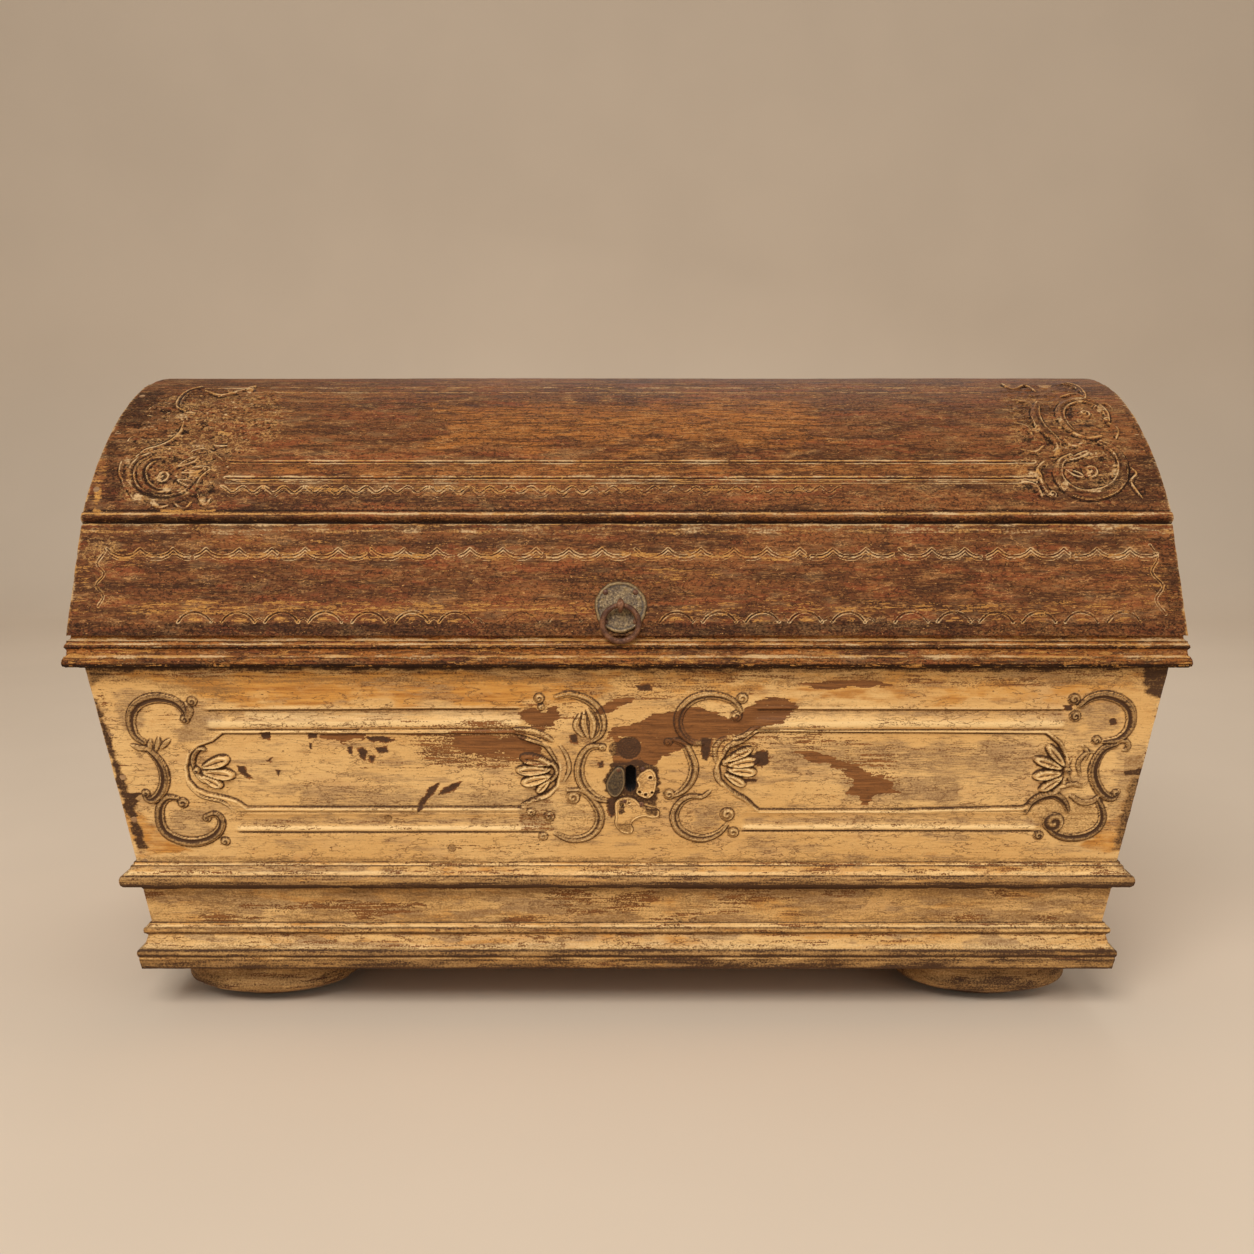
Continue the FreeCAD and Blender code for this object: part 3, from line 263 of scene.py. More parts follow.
class Relief:
    """Height over a grid of places on a face, and the layers that its paint reads."""

    # Of these layers, the dark one holds dirt and also painted shade, the pale wear one holds wear
    # and also painted highlights, and the stain one holds stains and also painted shade in coves.
    LAYERS = ("chip", "grime_and_shade", "wear_and_highlight", "tone", "stain_and_shade")

    def __init__(self, face, along, up, seed):
        self.face, self.along, self.up, self.seed = face, along, up, seed
        self.height = np.zeros(along.shape)
        self.layer = {name: np.zeros(along.shape) for name in self.LAYERS}

    def at(self, pixels):
        """Places on the face that a list of pixels shows."""
        return np.array([self.face.find(pixel) for pixel in pixels])

    def near(self, points, margin):
        low = points.min(axis=0) - margin
        high = points.max(axis=0) + margin
        return ((self.along > low[0]) & (self.along < high[0])
                & (self.up > low[1]) & (self.up < high[1]))

    def rough(self, along, up, shift, octaves=3, near=...):
        """Noise with these periods in millimetres."""
        return rough(self.along[near] / along, self.up[near] / up, self.seed + shift, octaves)

    def mark(self, layer, values, near=...):
        """Brings a layer up to these values where it is below them."""
        self.layer[layer][near] = np.maximum(self.layer[layer][near], values)

    def raise_to(self, near, cover, target):
        """Lifts the ground to a target height as far as the cover goes."""
        ground = self.height[near]
        self.height[near] = ground + cover * np.maximum(target - ground, 0)

    def rib(self, pixels, width, height, hollow, ends, belly, dark, brown):
        """Carved rib along a path, with a dark hollow towards the inside of its curve."""
        points = smooth(self.at(pixels))
        near = self.near(points, width * belly)
        if not near.any():
            return
        gap, share, side = to_path(points, self.along[near], self.up[near])
        steps = np.diff(points, axis=0)
        turning = np.sign(np.sum(steps[:-1, 0] * steps[1:, 1] - steps[:-1, 1] * steps[1:, 0]))
        swell = np.clip(np.sin(np.pi * np.clip(share, 0, 1)), 0, 1) ** 0.7
        reach = width * ((ends[0] * (1 - share) + ends[1] * share) * (1 - swell) + belly * swell)
        across = gap / reach * side * turning
        cover = ease((reach - gap) / EDGE_RUN)
        crown = np.sqrt(np.clip(1 - 0.6 * across ** 2, 0, 1))
        outer_line = bell(across + 0.60, 0.13)
        trough = hollow * bell(across - 0.28, 0.34) + 0.3 * hollow * outer_line
        self.raise_to(near, cover, height * (crown - trough))
        body = cover * (brown + dark * bell(across - 0.30, 0.30) * (0.35 + 0.65 * swell)
                        + 0.4 * brown * outer_line)
        self.mark("grime_and_shade", body * (1 - 0.7 * bell(np.abs(across) - 0.86, 0.10)), near)

    def petal(self, base, tip, width, height):
        """Rounded petal of a shell, with a raised rim and a crease along its middle."""
        base, tip = self.at([base, tip])
        near = self.near(np.array([base, tip]), width)
        if not near.any():
            return
        length = np.linalg.norm(tip - base)
        axis = (tip - base) / length
        right, high = self.along[near] - base[0], self.up[near] - base[1]
        run = (right * axis[0] + high * axis[1]) / length
        half = width * (0.45 + 0.75 * np.clip(run, 0, 1)) / 1.1
        across = (high * axis[0] - right * axis[1]) / half
        gap = np.sqrt((2 * run - 1) ** 2 * (1 - 0.2 * run) + across ** 2)
        cover = ease((1 - gap) * width / EDGE_RUN)
        dish = 1 - 0.45 * np.clip(1 - gap, 0, 1) + 0.35 * bell(gap - 0.80, 0.16)
        self.raise_to(near, cover, height * (dish - 0.30 * bell(across, 0.14)))

    def volute(self, pixel, radius, height, dirt_and_shade):
        """Rolled end of a scroll: a disc with a spiral groove."""
        centre = self.at([pixel])
        near = self.near(centre, radius)
        if not near.any():
            return
        right, high = self.along[near] - centre[0, 0], self.up[near] - centre[0, 1]
        gap = np.hypot(right, high)
        turn = np.arctan2(high, right) + 5.2 * math.pi * gap / (2 * radius)
        spiral = 0.5 + 0.5 * np.cos(turn)
        cover = ease((radius - gap) / EDGE_RUN)
        domed = height * (1 - 0.3 * (gap / radius) ** 2)
        self.raise_to(near, cover, domed * (0.55 + 0.45 * spiral))
        self.mark("grime_and_shade", dirt_and_shade * cover * (1.7 - spiral), near)

    def groove(self, points, width, depth, wear_and_highlight, dark=0.7):
        """Line cut into the face along places."""
        near = self.near(points, 4 * width)
        if not near.any():
            return
        gap = to_path(points, self.along[near], self.up[near])[0]
        gap = gap * (0.8 + 0.5 * self.rough(6, 6, 71, 2, near))
        self.height[near] -= depth * bell(gap, width)
        faded = 0.62 + 0.38 * self.rough(22, 12, 73, 3, near)
        self.mark("grime_and_shade", dark * faded * bell(gap, width), near)
        self.mark("wear_and_highlight", wear_and_highlight * (1.5 * faded * bell(gap - 1.6 * width, 0.7 * width)), near)

    def patch(self, points, layer, strength, soft, ragged, stretch=(9.0, 2.2)):
        """A spot of a paint layer inside an outline with a ragged edge."""
        near = self.near(points, 3 * ragged + 3 * soft)
        if near.any():
            gap = outside_by(points, self.along[near], self.up[near])
            gap += 4 * ragged * (self.rough(*stretch, 7, 3, near) - 0.5)
            self.mark(layer, strength * ease(0.5 - gap / soft), near)

    def regions(self, table, ragged, stretch):
        """Patches out of a table, each as ragged as it is soft times a share."""
        for pixels, layer, strength, soft in table:
            self.patch(self.at(pixels), layer, strength, soft, ragged * soft, stretch)

    def lumps(self, points, height, size):
        """Worn, uneven carving inside a soft outline."""
        near = self.near(points, LUMPS_RIM)
        if near.any():
            along, up = self.along[near], self.up[near]
            room = ease(0.5 - outside_by(points, along, up) / LUMPS_RIM)
            field = self.rough(*size, 61, 3, near) - 0.5
            curl = np.abs(ripple(along / size[0] + 2 * field, up / size[1] + 2 * field,
                                 self.seed + 67) - 0.5)
            self.height[near] += room * height * (2 * field + 1.2 * (0.35 - curl))

    def weather(self, grime_at, pale_at):
        """Dirt in what lies below its surroundings, and wear on what stands above them."""
        blurred = self.height.copy()
        for _ in range(BLUR_ROUNDS):
            padded = np.pad(blurred, 1, mode="edge")
            rows = (padded[:-2, 1:-1] + padded[1:-1, 1:-1] + padded[2:, 1:-1]) / 3
            padded = np.pad(rows, ((0, 0), (1, 1)), mode="edge")
            blurred = (padded[:, :-2] + padded[:, 1:-1] + padded[:, 2:]) / 3
        bumps = self.height - blurred
        self.mark("grime_and_shade", ease(-bumps / grime_at))
        self.mark("wear_and_highlight", ease(bumps / pale_at))

    def tool_marks(self, depth):
        """Slight unevenness of a planed and worn face."""
        self.height += 2 * depth * (self.rough(28.0, 5.0, 81, 4) - 0.5)
        swell = self.rough(180, 60, 87, 2) - 0.5
        self.height += 1.2 * swell * ease(self.height + 1)

    def from_edge(self, edge):
        along, up = self.along, self.up
        return {"left": along - along[:, :1], "right": along[:, -1:] - along,
                "low": up - up[:1, :], "top": up[-1:, :] - up}[edge]

    def round_edges(self, edges, radius):
        """Wears the exposed edges of a board round. Edges are any of left, right, low, top."""
        for edge in edges:
            distance = self.from_edge(edge)
            uneven = radius * (0.6 + 0.9 * self.rough(14, 14, 51, 2))
            gap = np.clip(distance, 0, uneven)
            self.height -= uneven - np.sqrt(np.clip(uneven ** 2 - (uneven - gap) ** 2, 0, None))
            self.mark("wear_and_highlight", np.exp(-distance / 5) * (0.4 + 0.9 * self.rough(9, 9, 57)))

    def seam(self, edges):
        """Dirt and a slight gap along the seams at these edges."""
        for edge in edges:
            gap = self.from_edge(edge)
            self.height -= 1.4 * bell(gap, 1.6)
            self.mark("grime_and_shade", bell(gap, 2.4))


# Materials

def linear(*colour):
    """Shader colour from a colour given as 0 to 255."""
    shares = [value / 255 for value in colour]
    return tuple(share / 12.92 if share <= 0.04045 else ((share + 0.055) / 1.055) ** 2.4
                 for share in shares) + (1.0,)


class Finish:
    """A material and the nodes that make it."""

    def __init__(self, name, roughness, metallic=0.0, specular=0.5):
        self.material = bpy.data.materials.new(name)
        self.material.use_nodes = True
        self.tree = self.material.node_tree
        self.shader = self.tree.nodes["Principled BSDF"]
        self.fill(self.shader, {"Roughness": roughness, "Metallic": metallic,
                                "Specular IOR Level": specular})
        self.place = self.node("ShaderNodeTexCoord", {}).outputs["Object"]

    def fill(self, node, inputs):
        """Gives each input its value, or its link where the value is a socket."""
        for name, value in inputs.items():
            if isinstance(value, bpy.types.NodeSocket):
                self.tree.links.new(value, node.inputs[name])
            else:
                node.inputs[name].default_value = value

    def node(self, kind, inputs, **settings):
        made = self.tree.nodes.new(kind)
        for name, value in settings.items():
            setattr(made, name, value)
        self.fill(made, inputs)
        return made

    def noise(self, scale, detail=4.0, harsh=0.55, shift=0.0):
        """Noise from 0 to 1. The scale is in cycles per metre on each axis."""
        mapping = self.node("ShaderNodeMapping", {"Vector": self.place, "Scale": scale,
                                                  "Location": (shift, 0.37 * shift, 0.71 * shift)})
        return self.node("ShaderNodeTexNoise", {
            "Vector": mapping.outputs["Vector"], "Scale": 1.0, "Detail": detail,
            "Roughness": harsh}).outputs["Fac"]

    def span(self, value, low, high, to_low=0.0, to_high=1.0):
        """Maps a value from one range to another, and clamps it."""
        return self.node("ShaderNodeMapRange", {
            "Value": value, "From Min": low, "From Max": high, "To Min": to_low,
            "To Max": to_high}, clamp=True, interpolation_type="SMOOTHSTEP").outputs["Result"]

    def sum(self, operation, first, second):
        inputs = {0: first, 1: second}
        return self.node("ShaderNodeMath", inputs, operation=operation).outputs["Value"]

    def add(self, total, *values):
        for value in values:
            total = self.sum("ADD", total, value)
        return total

    def times(self, first, second):
        return self.sum("MULTIPLY", first, second)

    def less(self, total, *values):
        for value in values:
            total = self.sum("SUBTRACT", total, value)
        return total

    def lines(self, noise, low, high):
        """Thin winding lines, where a noise passes its middle."""
        return self.span(self.sum("ABSOLUTE", self.less(noise, 0.5), 0.0), low, high, 1.0, 0.0)

    def layer(self, name):
        return self.node("ShaderNodeAttribute", {}, attribute_name=name).outputs["Fac"]

    def mix(self, share, first, second):
        """Mix of two colours, each a socket, a shader colour or three values up to 255."""
        first, second = [linear(*colour) if isinstance(colour, tuple) and len(colour) == 3
                         else colour for colour in (first, second)]
        inputs = {"Factor": share, 6: first, 7: second}
        return self.node("ShaderNodeMix", inputs, data_type="RGBA").outputs[2]

    def coats(self, base, *coats):
        """Lays coats over a base: what shares them out, its range, and their colour."""
        for source, span, colour in coats:
            base = self.mix(self.span(source, *span), base, colour)
        return base

    def done(self, colour, roughness, bumps, distance, strength):
        """Gives the shader its inputs, and returns the material."""
        bump = self.node("ShaderNodeBump", {"Distance": distance, "Strength": strength,
                                            "Height": bumps})
        self.fill(self.shader, {"Base Color": colour, "Normal": bump.outputs["Normal"],
                                "Roughness": roughness})
        return self.material


def body_paint():
    """Cream over ochre, rubbed along its edges, flecked, and dirty in its hollows, with painted
    shade and painted highlights in its dark, stain and wear coats.
    """
    made = Finish("aged_cream_paint", 0.62, specular=0.3)
    noise, span, add, times = made.noise, made.span, made.add, made.times
    broad = noise((4, 4, 8), 3, 0.5, 1.3)
    brushed = noise((16, 16, 330), 4, 0.62, 2.1)
    fibre = noise((60, 60, 800), 3, 0.6, 7.7)
    fine = noise((420, 420, 560), 3, 0.6, 3.7)
    cloud = noise((30, 30, 70), 5, 0.65, 9.4)
    mottled = noise((9, 9, 20), 4, 0.6, 4.9)
    base = made.mix(span(broad, 0.38, 0.62), (217, 168, 100), (227, 182, 116))
    golden = made.mix(span(brushed, 0.36, 0.64), (210, 148, 68), (176, 114, 46))
    smudge_and_shade = made.mix(span(fine, 0.3, 0.7), (176, 138, 92), (132, 96, 60))
    patchy = add(made.layer("tone"), span(cloud, 0.3, 0.7, -0.35, 0.25))
    # The stain coat's greyish smudge is also painted shade in the coves of the front's bands.
    smudged_and_shaded = add(made.layer("stain_and_shade"), span(fibre, 0.25, 0.75, -0.35, 0.25),
                  span(cloud, 0.3, 0.7, -0.2, 0.2))
    # The pale wear coat is also a painted highlight on lit rolls and on faces turned up.
    wear_and_highlight = add(made.layer("wear_and_highlight"), span(brushed, 0.25, 0.75, -0.45, 0.15))
    base = made.coats(base, (mottled, (0.50, 0.66, 0, 0.55), (203, 158, 104)),
                      (brushed, (0.50, 0.72, 0, 0.50), (192, 142, 82)),
                      (fibre, (0.52, 0.72, 0, 0.45), (178, 128, 70)),
                      (cloud, (0.54, 0.72, 0, 0.45), (196, 142, 78)),
                      (fine, (0.56, 0.72, 0, 0.45), (160, 112, 62)),
                      (patchy, (0.1, 0.9), golden), (smudged_and_shaded, (0.15, 0.95, 0, 0.9), smudge_and_shade),
                      (wear_and_highlight, (0.12, 0.80, 0, 0.75), (242, 204, 142)))
    flecks = span(noise((170, 170, 520), 3, 0.55, 5.2), 0.66, 0.69)
    dense = span(noise((11, 11, 22), 3, 0.5, 8.0), 0.44, 0.62)
    base = made.mix(times(flecks, dense), base, (104, 64, 30))
    cracked = times(made.lines(noise((26, 26, 80), 5, 0.62, 13.9), 0.003, 0.014),
                    span(mottled, 0.40, 0.56))
    base = made.mix(times(cracked, 0.9), base, (132, 88, 46))
    # The dark coats that follow are dirt, and also painted shade.
    dirt_and_shade = add(made.layer("grime_and_shade"), span(fine, 0.3, 0.7, -0.16, 0.16),
               span(brushed, 0.3, 0.7, -0.12, 0.12))
    base = made.coats(base, (dirt_and_shade, (0.12, 0.55, 0, 0.80), (152, 110, 60)),
                      (dirt_and_shade, (0.48, 0.95, 0, 0.96), (66, 38, 16)))
    ground = made.mix(span(brushed, 0.35, 0.65), (108, 64, 26), (146, 92, 44))
    ground = made.coats(ground, (fibre, (0.54, 0.70, 0, 0.5), (66, 40, 20)),
                        (dirt_and_shade, (0.30, 0.90, 0, 0.85), (58, 38, 24)))
    ragged = add(made.layer("chip"), span(fine, 0.25, 0.75, -0.24, 0.24),
                 span(brushed, 0.25, 0.75, -0.30, 0.30), span(fibre, 0.25, 0.75, -0.18, 0.18))
    lost = span(ragged, 0.50, 0.56)
    painted = made.mix(lost, base, ground)
    surface = made.less(add(times(fine, 0.7), times(brushed, 0.8)),
                        times(lost, 0.7), times(flecks, 0.4), times(cracked, 0.5))
    # Near-black where the dark layer passes 1.3, as in the keyhole: painted shade.
    return made.done(made.mix(span(made.layer("grime_and_shade"), 1.3, 1.8), painted, (14, 9, 6)),
                     span(add(fine, dirt_and_shade), 0.2, 1.4, 0.52, 0.78), surface, 0.0008, 0.8)


def lid_paint():
    """Dark red-brown, rubbed pale on what stands proud, with painted highlights among the pale and
    painted shade among the dark, and lost to ochre wood in small flecks.
    """
    made = Finish("aged_brown_paint", 0.66, specular=0.10)
    noise, span, add, times = made.noise, made.span, made.add, made.times
    broad = noise((4, 14, 14), 3, 0.5, 1.9)
    banded = noise((7, 90, 90), 4, 0.6, 9.9)
    brushed = noise((26, 300, 300), 4, 0.62, 2.6)
    fibre = noise((100, 620, 620), 3, 0.62, 6.6)
    fine = noise((320, 420, 420), 3, 0.6, 3.3)
    cloud = noise((24, 60, 60), 5, 0.65, 7.4)
    reddish = noise((14, 60, 60), 4, 0.6, 11.3)
    warm = made.mix(span(brushed, 0.38, 0.62), (176, 108, 48), (116, 66, 30))
    warmed = add(made.layer("tone"), span(cloud, 0.3, 0.7, -0.3, 0.2))
    base = made.mix(span(broad, 0.38, 0.62), (104, 60, 32), (140, 84, 44))
    base = made.coats(base, (banded, (0.47, 0.60, 0, 0.80), (72, 43, 25)),
                      (cloud, (0.50, 0.64, 0, 0.55), (126, 96, 64)),
                      (reddish, (0.52, 0.64, 0, 0.65), (140, 72, 38)),
                      (warmed, (0.1, 0.9, 0, 0.85), warm),
                      (brushed, (0.48, 0.62, 0, 0.62), (66, 38, 20)),
                      (fibre, (0.52, 0.66, 0, 0.55), (172, 118, 64)),
                      (fine, (0.52, 0.64, 0, 0.70), (64, 37, 20)))
    rubbed = add(made.layer("stain_and_shade"), span(cloud, 0.3, 0.7, -0.40, 0.30))
    scratchy = made.lines(noise((90, 130, 130), 4, 0.6, 5.9), 0.010, 0.034)
    scarred = times(made.lines(noise((22, 70, 70), 5, 0.6, 12.9), 0.003, 0.012),
                    span(cloud, 0.46, 0.58))
    curled = times(made.lines(noise((60, 110, 110), 4, 0.6, 15.7), 0.008, 0.026),
                   span(cloud, 0.58, 0.46))
    for share, colour in ((times(span(rubbed, 0.15, 0.9, 0, 0.85), scratchy), (188, 140, 82)),
                          (times(scarred, 0.8), (186, 134, 80)),
                          (times(curled, 0.75), (46, 26, 14))):
        base = made.mix(share, base, colour)
    # The dark coat is dirt, and also painted shade in the gap under the dome's lip and in the
    # carving.
    dirt_and_shade = add(made.layer("grime_and_shade"), span(fine, 0.3, 0.7, -0.16, 0.16))
    # The pale coat is rubbed paint, and also painted highlights on the carving and the lip.
    rubbed_and_highlit = add(made.layer("wear_and_highlight"), span(brushed, 0.25, 0.75, -0.28, 0.20),
                span(fine, 0.25, 0.75, -0.18, 0.18))
    pale = made.mix(span(cloud, 0.42, 0.58), (196, 142, 78), (212, 174, 124))
    specks = noise((200, 520, 520), 2, 0.5, 5.2)
    base = made.coats(base, (dirt_and_shade, (0.20, 0.90, 0, 0.96), (34, 18, 8)),
                      (rubbed_and_highlit, (0.35, 0.75, 0, 0.90), pale),
                      (specks, (0.69, 0.73, 0, 0.8), (204, 150, 88)))
    ragged = add(made.less(times(made.layer("chip"), 1.5), 0.22),
                 span(fine, 0.25, 0.75, -0.30, 0.30), span(brushed, 0.25, 0.75, -0.38, 0.38),
                 span(fibre, 0.25, 0.75, -0.26, 0.26))
    ochre = made.mix(span(fine, 0.4, 0.6), (206, 150, 76), (166, 112, 56))
    surface = add(times(fine, 0.9), times(brushed, 1.3), times(scratchy, 0.2))
    return made.done(made.mix(span(ragged, 0.48, 0.60, 0, 0.90), base, ochre),
                     span(add(fine, cloud), 0.6, 1.4, 0.50, 0.74), surface, 0.0010, 0.9)


def bare_wood():
    """Old pine or oak inside, dry and brown along its grain."""
    made = Finish("old_bare_wood", 0.8)
    grain = made.noise((7, 70, 120), 6, 0.6, 4.4)
    fine = made.noise((40, 600, 600), 3, 0.6, 5.8)
    base = made.mix(made.span(grain, 0.36, 0.64), (150, 108, 68), (186, 146, 100))
    base = made.coats(base, (fine, (0.45, 0.70, 0, 0.6), (108, 72, 42)),
                      (made.noise((6, 6, 6), 3, 0.5, 2.2), (0.5, 0.72, 0, 0.5), (92, 60, 36)))
    return made.done(base, 0.8, made.add(grain, made.times(fine, 0.5)), 0.0006, 0.6)


def iron():
    """Hammered iron, brown with rust and rubbed bright in a few places."""
    made = Finish("forged_iron", 0.55, 0.35)
    cloud = made.noise((70, 70, 70), 4, 0.6, 1.1)
    fine = made.noise((420, 420, 420), 4, 0.6, 2.7)
    base = made.mix(made.span(cloud, 0.40, 0.62), (84, 50, 30), (128, 84, 54))
    base = made.coats(base, (fine, (0.50, 0.66, 0, 0.8), (64, 36, 20)))
    return made.done(base, made.span(fine, 0.3, 0.7, 0.42, 0.72),
                     made.add(made.times(cloud, 2.0), fine), 0.0007, 0.8)


def worn_iron():
    """Iron rubbed to a mottled grey-brown, with paint left in its hollows."""
    made = Finish("worn_forged_iron", 0.58, 0.15)
    cloud = made.noise((110, 110, 110), 5, 0.65, 4.1)
    fine = made.noise((420, 420, 420), 4, 0.6, 6.7)
    base = made.mix(made.span(cloud, 0.40, 0.60), (92, 70, 42), (132, 106, 66))
    base = made.coats(base, (fine, (0.50, 0.62, 0, 0.8), (60, 40, 22)),
                      (fine, (0.42, 0.36, 0, 0.6), (176, 144, 92)))
    base = made.mix(made.layer("wear_and_highlight"), base, (196, 158, 104))
    base = made.mix(made.layer("grime_and_shade"), base, (40, 26, 14))
    return made.done(base, made.span(fine, 0.3, 0.7, 0.40, 0.66),
                     made.add(made.times(cloud, 1.6), fine), 0.0007, 0.8)


BODY_PAINT, LID_PAINT, BARE_WOOD = body_paint(), lid_paint(), bare_wood()
IRON, IRON_WORN = iron(), worn_iron()
SLOT_FINISHES = {"body_paint": BODY_PAINT, "lid_paint": LID_PAINT,
                 "bare_wood": BARE_WOOD, "iron": IRON}
CHEST = ("chest", "body_paint", BODY_PAINT)  # body, slot and material of a piece
LID = ("lid", "lid_paint", LID_PAINT)


# Meshes

RIM_LAYERS = {"wear_and_highlight": -0.8, "chip": 0.3}  # share of the face's paint layers at the back of a rim


def make_object(name, vertices, faces, kind, node, layers, smooth_faces=None):
    """Mesh out of millimetre vertices, riding on a body in place of a CAD node."""
    body, slot, material = kind
    mesh = bpy.data.meshes.new(name)
    mesh.from_pydata((np.asarray(vertices) * METRE).tolist(), [], faces)
    flags = np.zeros(len(faces), bool)
    flags[:smooth_faces] = True
    mesh.polygons.foreach_set("use_smooth", flags)
    mesh.materials.append(material)
    for layer, values in layers.items():
        attribute = mesh.attributes.new(layer, "FLOAT", "POINT")
        attribute.data.foreach_set("value", np.asarray(values, np.float32))
    mesh.update()
    made = add_to_scene(name, mesh)
    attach(made, body)
    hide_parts(node)
    return made


def face_outwards(made):
    """Turns all faces of a closed mesh outwards."""
    work = bmesh.new()
    work.from_mesh(made.data)
    bmesh.ops.recalc_face_normals(work, faces=work.faces)
    work.to_mesh(made.data)
    work.free()


def quads(corner, right, above):
    """Quads between a grid of vertex numbers, its right neighbours and the grid above."""
    return np.stack([corner, right, above[1], above[0]], axis=-1).reshape(-1, 4).tolist()


def numbered(rows, columns):
    return np.arange(rows * columns).reshape(rows, columns)


def sheet(corner):
    """Quads of a grid whose vertices are counted row by row."""
    return quads(corner[:-1, :-1], corner[:-1, 1:], (corner[1:, :-1], corner[1:, 1:]))


def drum(corner):
    """Quads round a grid whose rows are closed rings."""
    after = np.roll(corner, -1, axis=1)
    return quads(corner[:-1], after[:-1], (corner[1:], after[1:]))


def board(name, relief, behind, kind, node):
    """Closed board: a relief face, a bare back this far behind it, and edges between."""
    face = relief.face
    base = face.points(relief.along, relief.up)
    normals = face.normals(relief.along, relief.up)
    front = (base + relief.height[..., None] * normals).reshape(-1, 3)
    corner = numbered(*relief.along.shape)
    ring = np.concatenate([corner[0, :-1], corner[:-1, -1], corner[-1, :0:-1], corner[:0:-1, 0]])
    behind_of = {int(index): corner.size + place for place, index in enumerate(ring)}
    vertices = np.vstack([front, (base + np.asarray(behind, float)).reshape(-1, 3)[ring]])
    faces = sheet(corner)
    smooth_count = len(faces)
    for here, after in zip(ring, np.roll(ring, -1)):
        faces.append([int(after), int(here), behind_of[int(here)], behind_of[int(after)]])
    edge_count = len(faces)
    low, top, left, right = [[behind_of[int(index)] for index in side]
                             for side in (corner[0], corner[-1], corner[:, 0], corner[:, -1])]
    faces.append(low[::-1] + [left[1], right[1]])
    for row in range(1, len(corner) - 2):
        faces.append([right[row], left[row], left[row + 1], right[row + 1]])
    faces.append(top + [right[-2], left[-2]])
    layers = {}
    for key, value in relief.layer.items():
        flat = value.reshape(-1)
        layers[key] = np.concatenate([flat, RIM_LAYERS.get(key, 1.0) * flat[ring]])
    made = make_object(name, vertices, faces, kind, node, layers, smooth_count)
    mesh = made.data
    mesh.materials.append(BARE_WOOD)
    indices = np.zeros(len(faces), np.int32)
    indices[edge_count:] = 1
    mesh.polygons.foreach_set("material_index", indices)
    on_rim = np.zeros(len(vertices), bool)
    on_rim[ring] = True
    ends = np.zeros(2 * len(mesh.edges), np.int32)
    mesh.edges.foreach_get("vertices", ends)
    sharp = mesh.attributes.new("sharp_edge", "BOOLEAN", "EDGE")
    sharp.data.foreach_set("value", on_rim[ends].reshape(-1, 2).all(axis=1))


def grid(face, up_low, up_high, ends, pitch, seed):
    """Even grid of places between two slanted ends."""
    rows = max(int(round((up_high - up_low) / pitch[1])), 2) + 1
    up = np.linspace(up_low, up_high, rows)
    left, right = [np.array([limit(value) for value in up]) for limit in ends]
    columns = max(int(round((right - left).max() / pitch[0])), 2) + 1
    share = np.linspace(0, 1, columns)
    along = left[:, None] * (1 - share) + right[:, None] * share
    return Relief(face, along, np.repeat(up[:, None], columns, axis=1), seed)


def lengths_of(half, splits=()):
    """Left and right end of each length that the splits leave of a board this half wide."""
    at = [lambda up: -half(up)] + [lambda up, split=split: split for split in splits] + [half]
    return list(zip(at[:-1], at[1:]))


# Planes of the trunk, from the boxes of its CAD nodes

front_low, front_high = node_box("front_board")
plinth_low = node_box("plinth_front_board")[0]
back_low, back_high = node_box("back_board")

HALF_WIDTH = rail_high[0]
NOSE_Y = rail_low[1]
WALL_TOP = front_high[2]
WALL_LOW = front_low[2]
WALL_LEAN = (plinth_low[1] - front_low[1]) / (WALL_TOP - WALL_LOW)
WALL_RISE = math.hypot(1, WALL_LEAN)
WALL_UP = (WALL_TOP - WALL_LOW) * WALL_RISE
WALL_ACROSS = 24.23
RAIL_FOOT = rail_low[2]
RAIL_TOP = rail_high[2]
SLANT_TOP = node_box("lid_slant_front")[1][2]
SLANT_LEAN = 41.0 / 136.0
SLANT_RISE = math.hypot(1, SLANT_LEAN)
SLANT_UP = (SLANT_TOP - RAIL_TOP) * SLANT_RISE
SLANT_ACROSS = 20.9
LID_FACE_INSET = 5.0
LID_END_LEAN = 25.7 / 326.0
LID_BOARD = 20.0
DOME_RADIUS = 362.0
DOME_CENTRE_Z = node_box("dome_ridge_board")[1][2] - DOME_RADIUS
DOME_CENTRE_Y = (node_box("lid_rail_back")[1][1] + NOSE_Y + LID_FACE_INSET) / 2
DOME_FOOT_UP = math.asin((SLANT_TOP - DOME_CENTRE_Z) / DOME_RADIUS) * DOME_RADIUS
DOME_SEAM = math.radians(75.0)
BACK_Y = back_high[1]


def wall_inset(z):
    return front_low[1] - NOSE_Y + WALL_LEAN * (WALL_TOP - z)


def lid_end_inset(z):
    return LID_FACE_INSET + LID_END_LEAN * (z - RAIL_TOP)


def wall_half(up):
    return HALF_WIDTH - wall_inset(WALL_LOW + up / WALL_RISE)


def slant_half(up):
    return HALF_WIDTH - lid_end_inset(RAIL_TOP + up / SLANT_RISE)


def dome_half(up):
    return HALF_WIDTH - lid_end_inset(DOME_CENTRE_Z + DOME_RADIUS * math.sin(up / DOME_RADIUS))


def back_half(up):
    return HALF_WIDTH - wall_inset(WALL_LOW + up)


